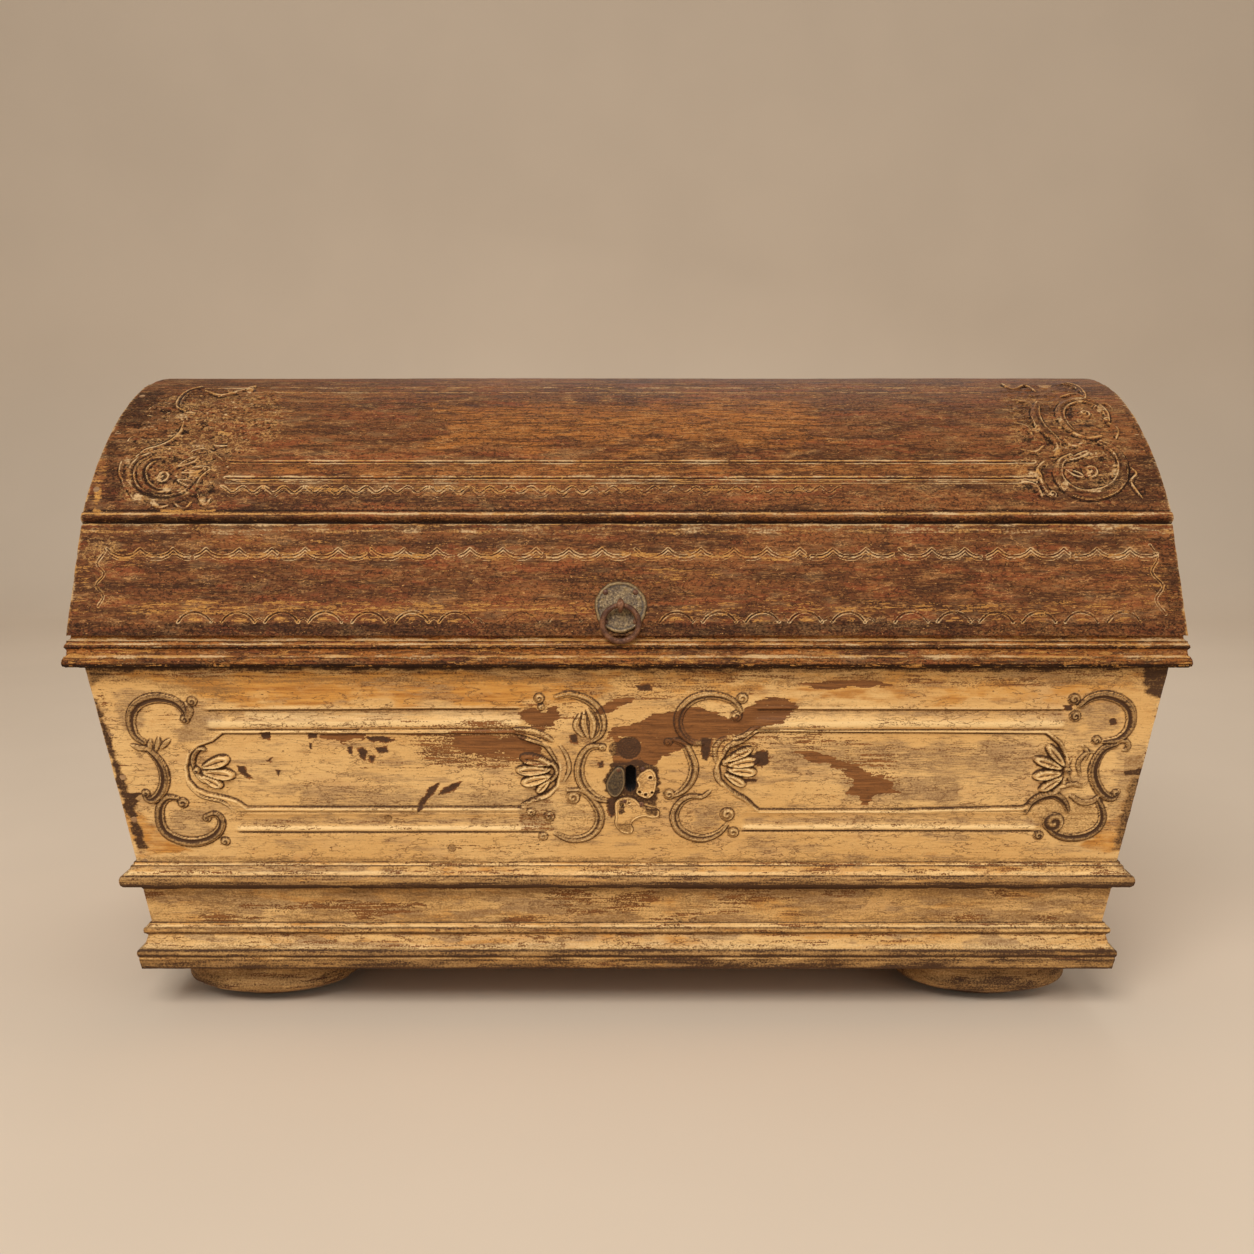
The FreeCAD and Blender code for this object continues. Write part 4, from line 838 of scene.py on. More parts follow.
FRONT = Flat((0, NOSE_Y + wall_inset(WALL_LOW), WALL_LOW), X_AXIS, (0, -WALL_LEAN, 1))
SLANT = Flat((0, NOSE_Y + LID_FACE_INSET, RAIL_TOP), X_AXIS, (0, SLANT_LEAN, 1))
SLANT_BEHIND = Flat((0, 2 * DOME_CENTRE_Y - SLANT.origin[1], RAIL_TOP), -X_AXIS,
                    (0, -SLANT_LEAN, 1))
DOME = Arch(DOME_CENTRE_Y, DOME_CENTRE_Z, DOME_RADIUS)
DOME_BEHIND = Arch(DOME_CENTRE_Y, DOME_CENTRE_Z, DOME_RADIUS, back=True)


# Panels of the chest front, in pixels of the reference view: the sunk field's outline, and the
# span of the bands above and below it. Sections are distance from a band's outer line and height.

LEFT_FIELD_PIXELS = [(222, 733), (212, 741), (198, 746), (189, 755), (186, 768), (188, 780),
                     (196, 789),
                     (207, 794), (222, 797), (236, 801), (247, 808.5), (383, 808.5), (520, 808.5),
                     (533, 800), (548, 794), (557, 786), (560, 768), (557, 758), (550, 747),
                     (541, 741), (527, 736), (514, 733), (370, 733)]
RIGHT_FIELD_PIXELS = [(758, 731), (748, 738), (735, 742), (724, 752), (718, 766), (720, 780),
                      (731, 792),
                      (745, 799), (752, 806), (759, 811), (900, 811), (1024, 808), (1036, 800),
                      (1050, 794), (1062, 785), (1067, 770), (1066, 757), (1060, 744), (1047, 733),
                      (900, 732)]
TOP_BANDS_PIXELS = [((205, 708.5), (520, 707)), ((756, 708), (1066, 708.5))]
FOOT_BANDS_PIXELS = [((238, 832.5), (541, 832)), ((742, 831), (1034, 831))]
TOP_SECTION = [(-3.0, 0.0), (-1.2, 0.7), (0.6, 0.9), (2.0, -1.4), (3.6, -3.0), (6.0, -3.3),
               (10.0, -2.7),
               (13.5, -1.6), (16.5, 0.4), (21.0, 1.7), (25.5, 1.2), (28.5, -0.6), (30.0, -2.4)]
FOOT_SECTION = [(-4.0, 0.0), (-1.5, -0.9), (0.2, -1.9), (2.2, 0.4), (4.4, 1.4), (6.6, 0.5),
                (9.0, -1.4),
                (14.0, -2.6), (19.0, -2.5), (22.5, -1.6), (25.0, -0.5), (27.2, -0.2), (29.0, -1.6)]
FIELD_DEPTH = 3.0
FIELD_EDGE = 2.2
BAND_FADE = 15.0


def straight_band(relief, pixels, section, downward, dark_at, shaded_at, pale_at):
    """Moulded band above (or below) a field, across its run and fading at its two ends."""
    start, stop = relief.at(pixels)
    along = relief.along
    level = start[1] + (along - start[0]) / (stop[0] - start[0]) * (stop[1] - start[1])
    level += 0.7 * (rough(along / 60, along * 0 + downward, relief.seed + 3, 2) - 0.5)
    depth = (level - relief.up) * downward
    section = smooth(section, steps=4)
    room = ease((along - start[0]) / BAND_FADE + 0.5) * ease((stop[0] - along) / BAND_FADE + 0.5)
    room = room * (depth > section[0, 0]) * (depth < section[-1, 0])
    relief.height += room * np.interp(depth, section[:, 0], section[:, 1])
    # The dark line at the band's step is dirt and painted shade, the stain in its cove is painted
    # shade, and the pale wear on its roll is a painted highlight.
    relief.mark("grime_and_shade", 0.95 * bell(depth - dark_at, 1.5) * room)
    relief.mark("stain_and_shade", 0.75 * room * bell(depth - shaded_at, 6.0))
    relief.mark("wear_and_highlight", 1.2 * room * bell(depth - pale_at, 5.0))


def sunk_field(relief, outline):
    near = relief.near(outline, 6)
    if near.any():
        depth = -outside_by(outline, relief.along[near], relief.up[near])
        cover = ease(depth / FIELD_EDGE)
        relief.height[near] = relief.height[near] * (1 - cover) - FIELD_DEPTH * cover
        relief.height[near] += bell(depth + 1.6, 1.3)
        relief.mark("grime_and_shade", 0.62 * bell(depth - 1.0, 0.9), near)
        for layer in ("stain_and_shade", "wear_and_highlight"):
            relief.layer[layer][near] *= 1 - cover


# Carving of the chest front, in pixels of the reference view. A scroll is its path and half its
# width in millimetres; a volute is a centre and a radius; a petal is its base, tip and half width.

LEFT_END = {
    "leaves": [
        ([(150, 748), (140, 748), (131, 744.5)], 4.0), ([(150, 752), (150, 745), (151, 739)], 3.6),
        ([(156, 750), (158, 744), (159, 737)], 3.6), ([(161, 748), (165, 744), (170, 739)], 3.6),
        ([(186, 703), (190, 711), (188, 719)], 4.6), ([(193, 768), (193, 757), (199, 749),
                                                       (206, 751)], 3.4),
        ([(187, 783), (194, 791), (203, 797), (216, 800), (226, 804), (236, 813)], 2.2),
    ],
    "petals": [((201, 768), (228, 759), 9.6), ((201, 772), (234, 776), 9.6), ((201, 776),
                                                                              (222, 787), 8.0),
               ((193, 771), (207, 784), 4.4)],
    "scrolls": [
        ([(144, 742), (135, 735), (131, 722), (133, 710), (141, 702), (152, 698), (164, 698),
          (176, 702),
          (184, 710), (187, 719)], 6.0),
        ([(148, 750), (156, 757), (163, 768), (165, 780), (162, 791), (155, 799), (148, 799),
          (145, 793)], 5.8),
        ([(177, 798), (168, 798), (161, 806), (160, 818), (164, 830), (175, 838), (192, 842),
          (208, 839),
          (219, 831), (222, 821), (216, 814), (206, 816)], 5.8),
    ],
    "volutes": [((192, 701), 6.8), ((185, 719), 6.4), ((146, 793), 5.6), ((183, 802.5), 7.4),
                ((207, 818), 5.6), ((225.5, 841), 6.2), ((196, 771), 5.0)],
    "dark": 0.80, "brown": 0.58, "hollow": 0.62,
}
MIDDLE_LEFT = {
    "leaves": [
        ([(515, 729), (530, 731), (545, 736), (553, 741)], 5.0),
        ([(519, 737), (533, 741), (545, 745), (552, 754), (558, 764)], 3.6),
        ([(592, 737), (593, 722), (587, 709)], 4.6), ([(583, 736), (576, 726), (580, 714)], 4.2),
        ([(588, 737), (584, 725), (584, 712)], 4.2), ([(551, 782), (557, 773), (552, 764),
                                                       (545, 768)], 3.0),
        ([(560, 745), (567, 757), (569, 770), (563, 783)], 3.0),
        ([(557, 787), (548, 796), (534, 800), (520, 806)], 2.4),
    ],
    "petals": [((552, 764), (521, 758), 9.4), ((552, 770), (517, 771), 9.0), ((552, 776),
                                                                              (522, 784), 9.0),
               ((551, 779), (537, 793), 6.4)],
    "scrolls": [
        ([(556, 697), (568, 694.5), (581, 697), (592, 703), (600, 713), (603, 725), (600, 735),
          (592, 741)], 4.6),
        ([(598, 746), (589, 748), (582, 757), (579, 771), (583, 785), (594, 796), (608, 801)], 5.4),
        ([(568, 790), (583, 792), (594, 802), (600, 815), (597, 828), (586, 837), (570, 839),
          (555, 833)], 5.0),
    ],
    "volutes": [((539, 698), 6.8), ((602, 747), 5.4), ((573, 797), 9.0), ((543, 836), 6.4),
                ((531, 812), 6.4), ((549, 816), 7.4), ((541, 707), 4.6)],
    "dark": 0.42, "brown": 0.40, "hollow": 0.62,
}
MIDDLE_RIGHT = {
    "leaves": [
        ([(722, 758), (728, 747), (740, 742), (749, 738)], 3.8), ([(733, 739), (745, 735),
                                                                   (753, 729), (761, 726)], 3.4),
        ([(716, 762), (715, 749), (721, 740), (728, 738)], 3.6), ([(722, 783), (734, 793),
                                                                   (746, 800), (758, 811)], 2.6),
        ([(699, 798), (705, 795), (711, 790)], 3.0), ([(717, 764), (716, 775), (722, 786)], 3.0),
    ],
    "petals": [((724, 762), (752, 749), 7.4), ((726, 766), (759, 760), 8.6), ((726, 770),
                                                                              (756, 773), 8.2),
               ((724, 774), (745, 786), 7.2)],
    "scrolls": [
        ([(741, 712), (735, 703), (724, 697), (708, 695), (693, 699), (682, 709), (678, 722),
          (682, 734),
          (692, 742), (703, 743)], 5.0),
        ([(674, 740), (684, 744), (690, 754), (694, 767), (691, 780), (683, 790), (672, 796)], 5.2),
        ([(701, 797), (690, 797), (680, 803), (674, 815), (678, 828), (690, 836), (704, 838),
          (718, 833),
          (727, 824)], 5.0),
    ],
    "volutes": [((742, 698), 7.4), ((736, 716), 7.8), ((668, 742), 5.6), ((669, 794), 7.4),
                ((727, 814), 9.4), ((733, 832), 7.4), ((725, 763), 5.0)],
    "dark": 0.50, "brown": 0.42, "hollow": 0.62,
}
RIGHT_END = {
    "leaves": [
        ([(1062, 787), (1073, 784), (1083, 787)], 3.6), ([(1070, 795), (1081, 802), (1092, 801),
                                                          (1099, 795)], 4.4),
        ([(1070, 781), (1066, 769), (1072, 757)], 3.0), ([(1080, 776), (1078, 763), (1086, 753),
                                                          (1095, 752)], 3.2),
        ([(1047, 733), (1060, 743), (1066, 757)], 2.4), ([(1082, 745), (1087, 752),
                                                          (1084, 762)], 3.0),
        ([(1117, 742), (1126, 741), (1128, 748), (1121, 750)], 3.4), ([(1036, 800), (1048, 795),
                                                                       (1062, 790)], 2.4),
    ],
    "petals": [((1066, 768), (1048, 746), 7.6), ((1064, 769), (1035, 759), 8.0),
               ((1063, 773), (1034, 777), 8.6), ((1064, 776), (1040, 791), 7.2)],
    "scrolls": [
        ([(1080, 706), (1090, 698), (1104, 695), (1119, 699), (1129, 708), (1131, 720), (1127, 731),
          (1117, 739), (1103, 741)], 5.8),
        ([(1117, 744), (1104, 749), (1096, 760), (1093, 772), (1096, 784), (1103, 794), (1112, 798),
          (1118, 791)], 5.8),
        ([(1096, 798), (1101, 808), (1102, 820), (1095, 830), (1082, 836), (1066, 837), (1053, 832),
          (1045, 822)], 5.0),
        ([(1026, 813), (1032, 803), (1042, 797), (1054, 795), (1064, 802), (1068, 812)], 4.4),
    ],
    "volutes": [((1074, 699), 7.6), ((1075, 716), 7.4), ((1096, 740), 6.4), ((1115, 793), 5.6),
                ((1053, 822), 14.0), ((1038, 835), 6.6), ((1068, 771), 4.6)],
    "dark": 0.85, "brown": 0.62, "hollow": 0.62,
}
SCROLL_HEIGHT = 4.4
PETAL_HEIGHT = 3.8


def carve_group(relief, group, lift=0.0):
    brown = group["brown"]
    for path, width in group["leaves"]:
        relief.rib(path, width, 3.4 + lift, 0.25, (0.55, 0.35), 1.0, 0.15, 0.8 * brown)
    for base, tip, width in group["petals"]:
        relief.petal(base, tip, width, PETAL_HEIGHT + lift)
    for path, width in group["scrolls"]:
        relief.rib(path, 1.12 * width, SCROLL_HEIGHT + lift, group["hollow"], (0.55, 0.45), 1.06,
                   group["dark"], brown)
    for centre, radius in group["volutes"]:
        relief.volute(centre, radius, SCROLL_HEIGHT + 0.4 + lift, brown)


# Lost paint on the chest front, as outlines in the reference view

LOST_PIXELS = [
    [(607, 738), (613, 728), (626, 725), (640, 722), (650, 716), (662, 713), (676, 711), (686, 706),
     (700, 708), (716, 713), (728, 719), (742, 712), (750, 706), (762, 699), (776, 697), (790, 702),
     (797, 707), (790, 715), (782, 723), (765, 726), (752, 729), (742, 734), (726, 737), (714, 739),
     (700, 742), (686, 745), (678, 752), (664, 756), (648, 758), (641, 757), (640, 742),
     (628, 737)],
    [(612, 736), (640, 742), (665, 752), (660, 760), (656, 768), (648, 766), (640, 768),
     (634, 764), (622, 764),
     (614, 768), (612, 758), (616, 750)],
    [(594, 712), (603, 705), (614, 700), (630, 697), (634, 698), (631, 702), (620, 706),
     (612, 714), (600, 715)],
    [(701, 738), (712, 739), (710, 752), (707, 762), (702, 758)],
    [(607, 798), (620, 798), (616, 806), (615, 815), (611, 818), (607, 810)],
    [(417, 813), (419, 802), (425, 797), (429, 788), (440, 783), (434, 794), (427, 801),
     (422, 809)],
    [(438, 796), (441, 790), (452, 785), (462, 782), (456, 790), (446, 795)],
    [(800, 684), (822, 682), (850, 680), (880, 682), (902, 681), (892, 686), (870, 688),
     (845, 687), (820, 689)],
    [(797, 753), (812, 751), (830, 757), (845, 763), (860, 769), (850, 771), (828, 766),
     (808, 761)],
    [(842, 771), (856, 769), (868, 774), (884, 778), (893, 787), (900, 794), (886, 792),
     (874, 796), (868, 808),
     (862, 806), (858, 797), (845, 796), (854, 787), (852, 779)],
    [(259, 733), (270, 732), (270, 741), (262, 740)],
    [(307, 733), (317, 734), (316, 740), (307, 740)],
    [(320, 734), (340, 735), (365, 734), (364, 740), (350, 742), (341, 744), (330, 740),
     (321, 739)],
    [(365, 738), (382, 737), (398, 741), (386, 743), (370, 742)],
    [(309, 744), (311, 744), (311, 750), (309, 750)],
    [(347, 748), (352, 747), (352, 756), (348, 755)],
    [(357, 750), (363, 748), (367, 753), (364, 761), (359, 758)],
    [(368, 756), (375, 757), (372, 765), (369, 762)],
    [(374, 748), (386, 747), (388, 753), (378, 754)],
    [(236, 766), (244, 767), (246, 773), (253, 780), (244, 778), (239, 773)],
    [(275, 771), (280, 771), (278, 777)], [(266, 762), (273, 757), (270, 763)],
    [(243, 741), (245, 737), (246, 738)],
    [(520, 712), (531, 708), (545, 712), (556, 706), (560, 716), (552, 726), (540, 732),
     (530, 724), (519, 719)],
    [(512, 737), (540, 745), (542, 755), (530, 758), (505, 757), (500, 742)],
    [(455, 737), (480, 736), (505, 739), (503, 752), (480, 756), (462, 753), (452, 745)],
    [(569, 735), (577, 734), (578, 744), (571, 743)], [(598, 763), (603, 761), (604, 768),
                                                       (599, 768)],
    [(636, 686), (650, 684), (652, 690), (640, 691)],
    [(757, 751), (768, 752), (770, 764), (762, 768), (753, 764)], [(745, 780), (757, 780),
                                                                   (757, 783), (746, 783)],
    [(1064, 706), (1072, 704), (1073, 711), (1065, 711)], [(1108, 720), (1116, 717),
                                                           (1117, 724), (1110, 725)],
]
SMALL_LOSS = 45.0
LOSS_DEPTH = 0.35
BARE_SQUARE_PIXELS = [(1124, 757), (1144, 753), (1146, 771), (1140, 774), (1124, 776)]
PAINT_REGIONS_PIXELS = [
    ([(400, 724), (520, 724), (545, 768), (420, 766)], "chip", 0.60, 20.0),
    ([(258, 722), (520, 722), (520, 730), (258, 730)], "chip", 0.42, 8.0),
    ([(390, 736), (470, 738), (470, 752), (396, 748)], "chip", 0.40, 16.0),
    ([(660, 716), (760, 704), (800, 740), (730, 770), (690, 760)], "chip", 0.40, 26.0),
    ([(770, 706), (830, 716), (820, 745), (770, 745)], "chip", 0.40, 20.0),
    ([(830, 748), (900, 756), (905, 790), (850, 800)], "chip", 0.44, 20.0),
    ([(790, 736), (868, 738), (872, 756), (792, 752)], "chip", 0.46, 14.0),
    ([(514, 794), (552, 792), (558, 832), (520, 834)], "chip", 0.44, 14.0),
    ([(514, 794), (552, 792), (558, 832), (520, 834)], "stain_and_shade", 0.80, 14.0),
    ([(520, 702), (580, 698), (586, 720), (540, 742), (520, 734)], "chip", 0.44, 14.0),
    ([(560, 676), (760, 676), (760, 700), (560, 700)], "chip", 0.34, 14.0),
    ([(900, 676), (1040, 676), (1040, 688), (900, 688)], "chip", 0.40, 10.0),
    ([(240, 819), (560, 819), (560, 828), (240, 828)], "chip", 0.26, 10.0),
    ([(700, 822), (1060, 822), (1060, 832), (700, 832)], "chip", 0.24, 10.0),
    ([(420, 838), (540, 838), (540, 850), (420, 850)], "chip", 0.30, 14.0),
    ([(98, 690), (104, 690), (146, 850), (138, 850)], "chip", 0.45, 12.0),
    ([(1162, 690), (1172, 690), (1130, 850), (1120, 850)], "chip", 0.50, 14.0),
    ([(60, 668), (1200, 668), (1200, 678), (60, 678)], "chip", 0.36, 10.0),
    # These two rows of pale wear are painted highlights on the lit rolls of the top bands.
    ([(245, 712), (540, 712), (540, 721), (245, 721)], "wear_and_highlight", 0.55, 8.0),
    ([(640, 713), (1060, 715), (1060, 724), (640, 723)], "wear_and_highlight", 0.45, 8.0),
    ([(300, 786), (545, 792), (545, 812), (300, 812)], "stain_and_shade", 0.70, 16.0),
    ([(770, 742), (1030, 742), (1030, 776), (770, 770)], "stain_and_shade", 0.75, 20.0),
    ([(840, 776), (960, 776), (960, 806), (840, 806)], "stain_and_shade", 0.80, 16.0),
    ([(180, 704), (226, 714), (212, 745), (174, 745)], "stain_and_shade", 0.85, 16.0),
    ([(1080, 702), (1122, 702), (1115, 735), (1086, 735)], "stain_and_shade", 0.80, 16.0),
    ([(168, 806), (212, 806), (212, 834), (172, 834)], "stain_and_shade", 0.70, 14.0),
    ([(690, 806), (722, 806), (722, 830), (694, 830)], "stain_and_shade", 0.75, 14.0),
    ([(544, 748), (575, 750), (575, 800), (548, 800)], "stain_and_shade", 0.55, 16.0),
    ([(110, 690), (150, 690), (140, 735), (118, 730)], "stain_and_shade", 0.75, 14.0),
    ([(1120, 745), (1150, 745), (1130, 830), (1104, 830)], "stain_and_shade", 0.70, 16.0),
]
GOLDEN_PIXELS = [
    ([(120, 672), (620, 672), (600, 705), (230, 705)], 0.85),
    ([(640, 672), (1150, 676), (1120, 704), (640, 700)], 0.55),
    ([(125, 805), (190, 850), (140, 856), (110, 800)], 0.8),
    ([(1085, 840), (1130, 800), (1130, 856), (1080, 856)], 0.8),
]
# Dark patches. The first two rows and the fifth and sixth, under the lid's rail, are painted shade.
DARK_REGIONS_PIXELS = [
    ([(80, 660), (1180, 660), (1180, 671), (80, 671)], 0.95, 9.0),
    ([(100, 674), (1165, 674), (1165, 686), (100, 684)], 0.34, 14.0),
    ([(150, 682), (250, 686), (230, 700), (170, 696)], 0.40, 14.0),
    ([(640, 682), (760, 684), (750, 692), (650, 690)], 0.36, 10.0),
    ([(86, 664), (108, 664), (110, 676), (90, 688)], 0.75, 14.0),
    ([(1141, 664), (1182, 664), (1178, 704), (1146, 696)], 0.95, 12.0),
    ([(120, 857), (1140, 857), (1140, 862), (120, 862)], 0.4, 6.0),
    ([(1130, 775), (1150, 775), (1128, 850), (1112, 850)], 0.75, 10.0),
    ([(92, 700), (98, 700), (148, 850), (138, 850)], 0.95, 6.0),
    ([(1168, 700), (1180, 700), (1130, 855), (1122, 850)], 0.90, 9.0),
    ([(1124, 770), (1147, 768), (1147, 774), (1124, 777)], 0.95, 2.0),
    ([(1036, 800), (1062, 795), (1090, 800), (1098, 818), (1085, 834), (1060, 837), (1040, 828),
      (1030, 812)],
     0.36, 8.0),
    ([(1036, 748), (1090, 742), (1098, 790), (1040, 795)], 0.24, 12.0),
    ([(176, 722), (236, 730), (232, 748), (176, 744)], 0.20, 12.0),
    ([(560, 776), (600, 780), (600, 830), (560, 832)], 0.22, 12.0),
    ([(128, 794), (140, 792), (136, 804), (124, 808)], 0.95, 4.0),
    ([(612, 762), (640, 758), (657, 768), (660, 790), (656, 806), (640, 802), (618, 802),
      (606, 792),
      (604, 778)], 0.90, 3.5),
]
MARK_PIXELS = [((388, 819), 4.6, 0.4), ((452, 848), 5.0, 0.3), ((629, 748), 15.0, 0.7),
               ((616, 749), 9.0, 0.6)]
FRONT_SPLITS = (-215.0, 215.0)
FRONT_PITCH = (1.25, 1.22)


def age_front(relief):
    for pixels, strength, soft in DARK_REGIONS_PIXELS:
        relief.patch(relief.at(pixels), "grime_and_shade", strength, soft, 2.5, (16, 5))
    relief.regions(PAINT_REGIONS_PIXELS, 0.35, (34, 7))
    for pixels, strength in GOLDEN_PIXELS:
        relief.patch(relief.at(pixels), "tone", strength, 16.0, 7.0, (40, 9))
    for pixels in LOST_PIXELS:
        outline = relief.at(pixels)
        if np.ptp(outline[:, 0]) < SMALL_LOSS:
            ragged, stretch, rim = 1.4, (6.0, 2.0), 0.85
        else:
            ragged, stretch, rim = 2.6, (15.0, 2.6), 0.25
        relief.patch(outline, "chip", 1.0, 0.8, ragged, stretch)
        relief.patch(outline, "grime_and_shade", rim, 3.0, 1.0, (6, 3))
    for layer, strength in (("stain_and_shade", 1.0), ("grime_and_shade", 0.30)):
        relief.patch(relief.at(BARE_SQUARE_PIXELS), layer, strength, 1.0, 0.8)
    for pixel, radius, dark in MARK_PIXELS:
        plug(relief, relief.at([pixel])[0], radius, dark)
    relief.height -= LOSS_DEPTH * (relief.layer["chip"] > 0.5)
    relief.mark("stain_and_shade", 0.60 * ease((relief.rough(60, 12, 11, 4) - 0.50) / 0.20))
    relief.mark("chip", 0.18 * ease((relief.rough(90, 26, 13) - 0.40) / 0.25))


def plug(relief, centre, radius, dark):
    """Wooden plug, slightly sunk, with a dark ring round it."""
    near = relief.near(centre[None, :], 2 * radius)
    if near.any():
        gap = np.hypot(relief.along[near] - centre[0], relief.up[near] - centre[1])
        ring = bell(gap - radius, 0.9)
        within = gap < radius
        relief.height[near] -= 0.6 * ring + 0.3 * within
        relief.mark("grime_and_shade", 0.8 * ring, near)
        rings = 0.5 + 0.5 * np.cos(2 * math.pi * gap / 3.4)
        relief.mark("stain_and_shade", 0.8 * within, near)
        relief.mark("grime_and_shade", (dark + 0.4 * dark * rings) * within, near)


KEY_PLACE = np.array([4.6, (331.0 - WALL_LOW) * WALL_RISE])
KEYHOLE_HALF = (5.5, 17.0)
KEYHOLE_DEPTH = 19.0


def keyhole(relief):
    """Upright slot with round ends, sunk nearly through the board, and painted near-black inside as
    shade.
    """
    near = relief.near(KEY_PLACE[None, :], 2 * KEYHOLE_HALF[1])
    if near.any():
        right = relief.along[near] - KEY_PLACE[0]
        high = np.abs(relief.up[near] - KEY_PLACE[1])
        straight = np.clip(high - (KEYHOLE_HALF[1] - KEYHOLE_HALF[0]), 0, None)
        gap = np.hypot(right, straight) - KEYHOLE_HALF[0]
        relief.height[near] = np.where(gap < 0.4, -KEYHOLE_DEPTH, relief.height[near])
        relief.mark("grime_and_shade", np.where(gap < 1.4, 2.0, 1.0 * (gap < 2.5)), near)


def make_front():
    thirds = zip(("left", "middle", "right"), lengths_of(wall_half, FRONT_SPLITS),
                 (("left", "top"), ("top",), ("right", "top")))
    for name, ends, worn_edges in thirds:
        relief = grid(FRONT, 0, WALL_UP, ends, FRONT_PITCH, 5)
        relief.tool_marks(0.22)
        for pixels in TOP_BANDS_PIXELS:
            straight_band(relief, pixels, TOP_SECTION, 1, 3.2, 8.5, 21.5)
        for pixels in FOOT_BANDS_PIXELS:
            straight_band(relief, pixels, FOOT_SECTION, -1, -0.4, 14.0, 4.4)
        for pixels in (LEFT_FIELD_PIXELS, RIGHT_FIELD_PIXELS):
            sunk_field(relief, relief.at(pixels))
        for group in (LEFT_END, MIDDLE_LEFT, MIDDLE_RIGHT, RIGHT_END):
            carve_group(relief, group)
        relief.weather(0.75, 0.9)
        age_front(relief)
        relief.round_edges(worn_edges, 3.0)
        keyhole(relief)
        board("front_board_" + name, relief, (0, WALL_ACROSS, 0), CHEST, "front_board")


# Lid: slanted board, carved dome, and the plainer boards behind

WAVE_LINE = (107, 1150, 556, 33.0)
WAVE_SAG = 7.5
ARCH_ROWS = [(178, 470, 43.5, 1.0), (505, 590, 43.0, 0.5), (660, 880, 43.0, 0.9),
             (895, 1125, 42.5, 0.8)]
ARCH_TOP = 612
ARCH_FOOT = 622
ARCH_HALF = 16.5
LEFT_WAVE_PIXELS = [(104, 553), (97, 564), (104, 574), (96, 585), (103, 596), (98, 606)]
RIGHT_WAVE_PIXELS = [(1150, 545), (1158, 558), (1152, 572), (1163, 586), (1156, 600), (1166, 614)]
SLANT_PITCH = (1.15, 1.1)
SLANT_SPLITS = (-235.0, 235.0)
SLANT_REGIONS_PIXELS = [
    ([(120, 552), (620, 554), (620, 560), (120, 560)], "chip", 0.44, 9.0),
    ([(150, 538), (330, 538), (330, 546), (150, 546)], "chip", 0.34, 12.0),
    ([(620, 550), (790, 552), (790, 560), (620, 560)], "chip", 0.50, 10.0),
    ([(790, 552), (1130, 552), (1130, 560), (790, 560)], "chip", 0.30, 10.0),
    ([(120, 600), (610, 602), (610, 616), (120, 616)], "chip", 0.44, 10.0),
    ([(680, 600), (1130, 602), (1130, 616), (680, 616)], "chip", 0.38, 10.0),
    ([(80, 560), (92, 560), (86, 612), (72, 612)], "chip", 0.34, 12.0),
    ([(110, 560), (170, 560), (170, 572), (110, 572)], "chip", 0.34, 14.0),
    ([(655, 570), (720, 572), (715, 582), (655, 580)], "chip", 0.40, 14.0),
    ([(500, 560), (900, 560), (900, 600), (500, 600)], "chip", 0.18, 26.0),
    ([(150, 565), (560, 565), (560, 600), (150, 600)], "chip", 0.14, 26.0),
    ([(1120, 560), (1170, 560), (1180, 620), (1130, 620)], "chip", 0.30, 20.0),
    ([(84, 536), (120, 536), (112, 560), (80, 560)], "stain_and_shade", 0.80, 16.0),
    ([(90, 560), (115, 560), (112, 612), (84, 612)], "stain_and_shade", 0.60, 14.0),
    ([(560, 560), (690, 560), (700, 604), (560, 604)], "grime_and_shade", 0.42, 26.0),
    ([(160, 575), (330, 575), (330, 600), (160, 600)], "grime_and_shade", 0.36, 26.0),
    ([(1150, 540), (1190, 540), (1195, 625), (1160, 625)], "grime_and_shade", 0.50, 16.0),
    ([(60, 622), (1200, 622), (1200, 640), (60, 640)], "grime_and_shade", 0.55, 5.0),
]
ARCH_FILL = 0.60
SLANT_EDGE_PIXELS = [(70, 528), (1190, 526), (1190, 534), (70, 535)]


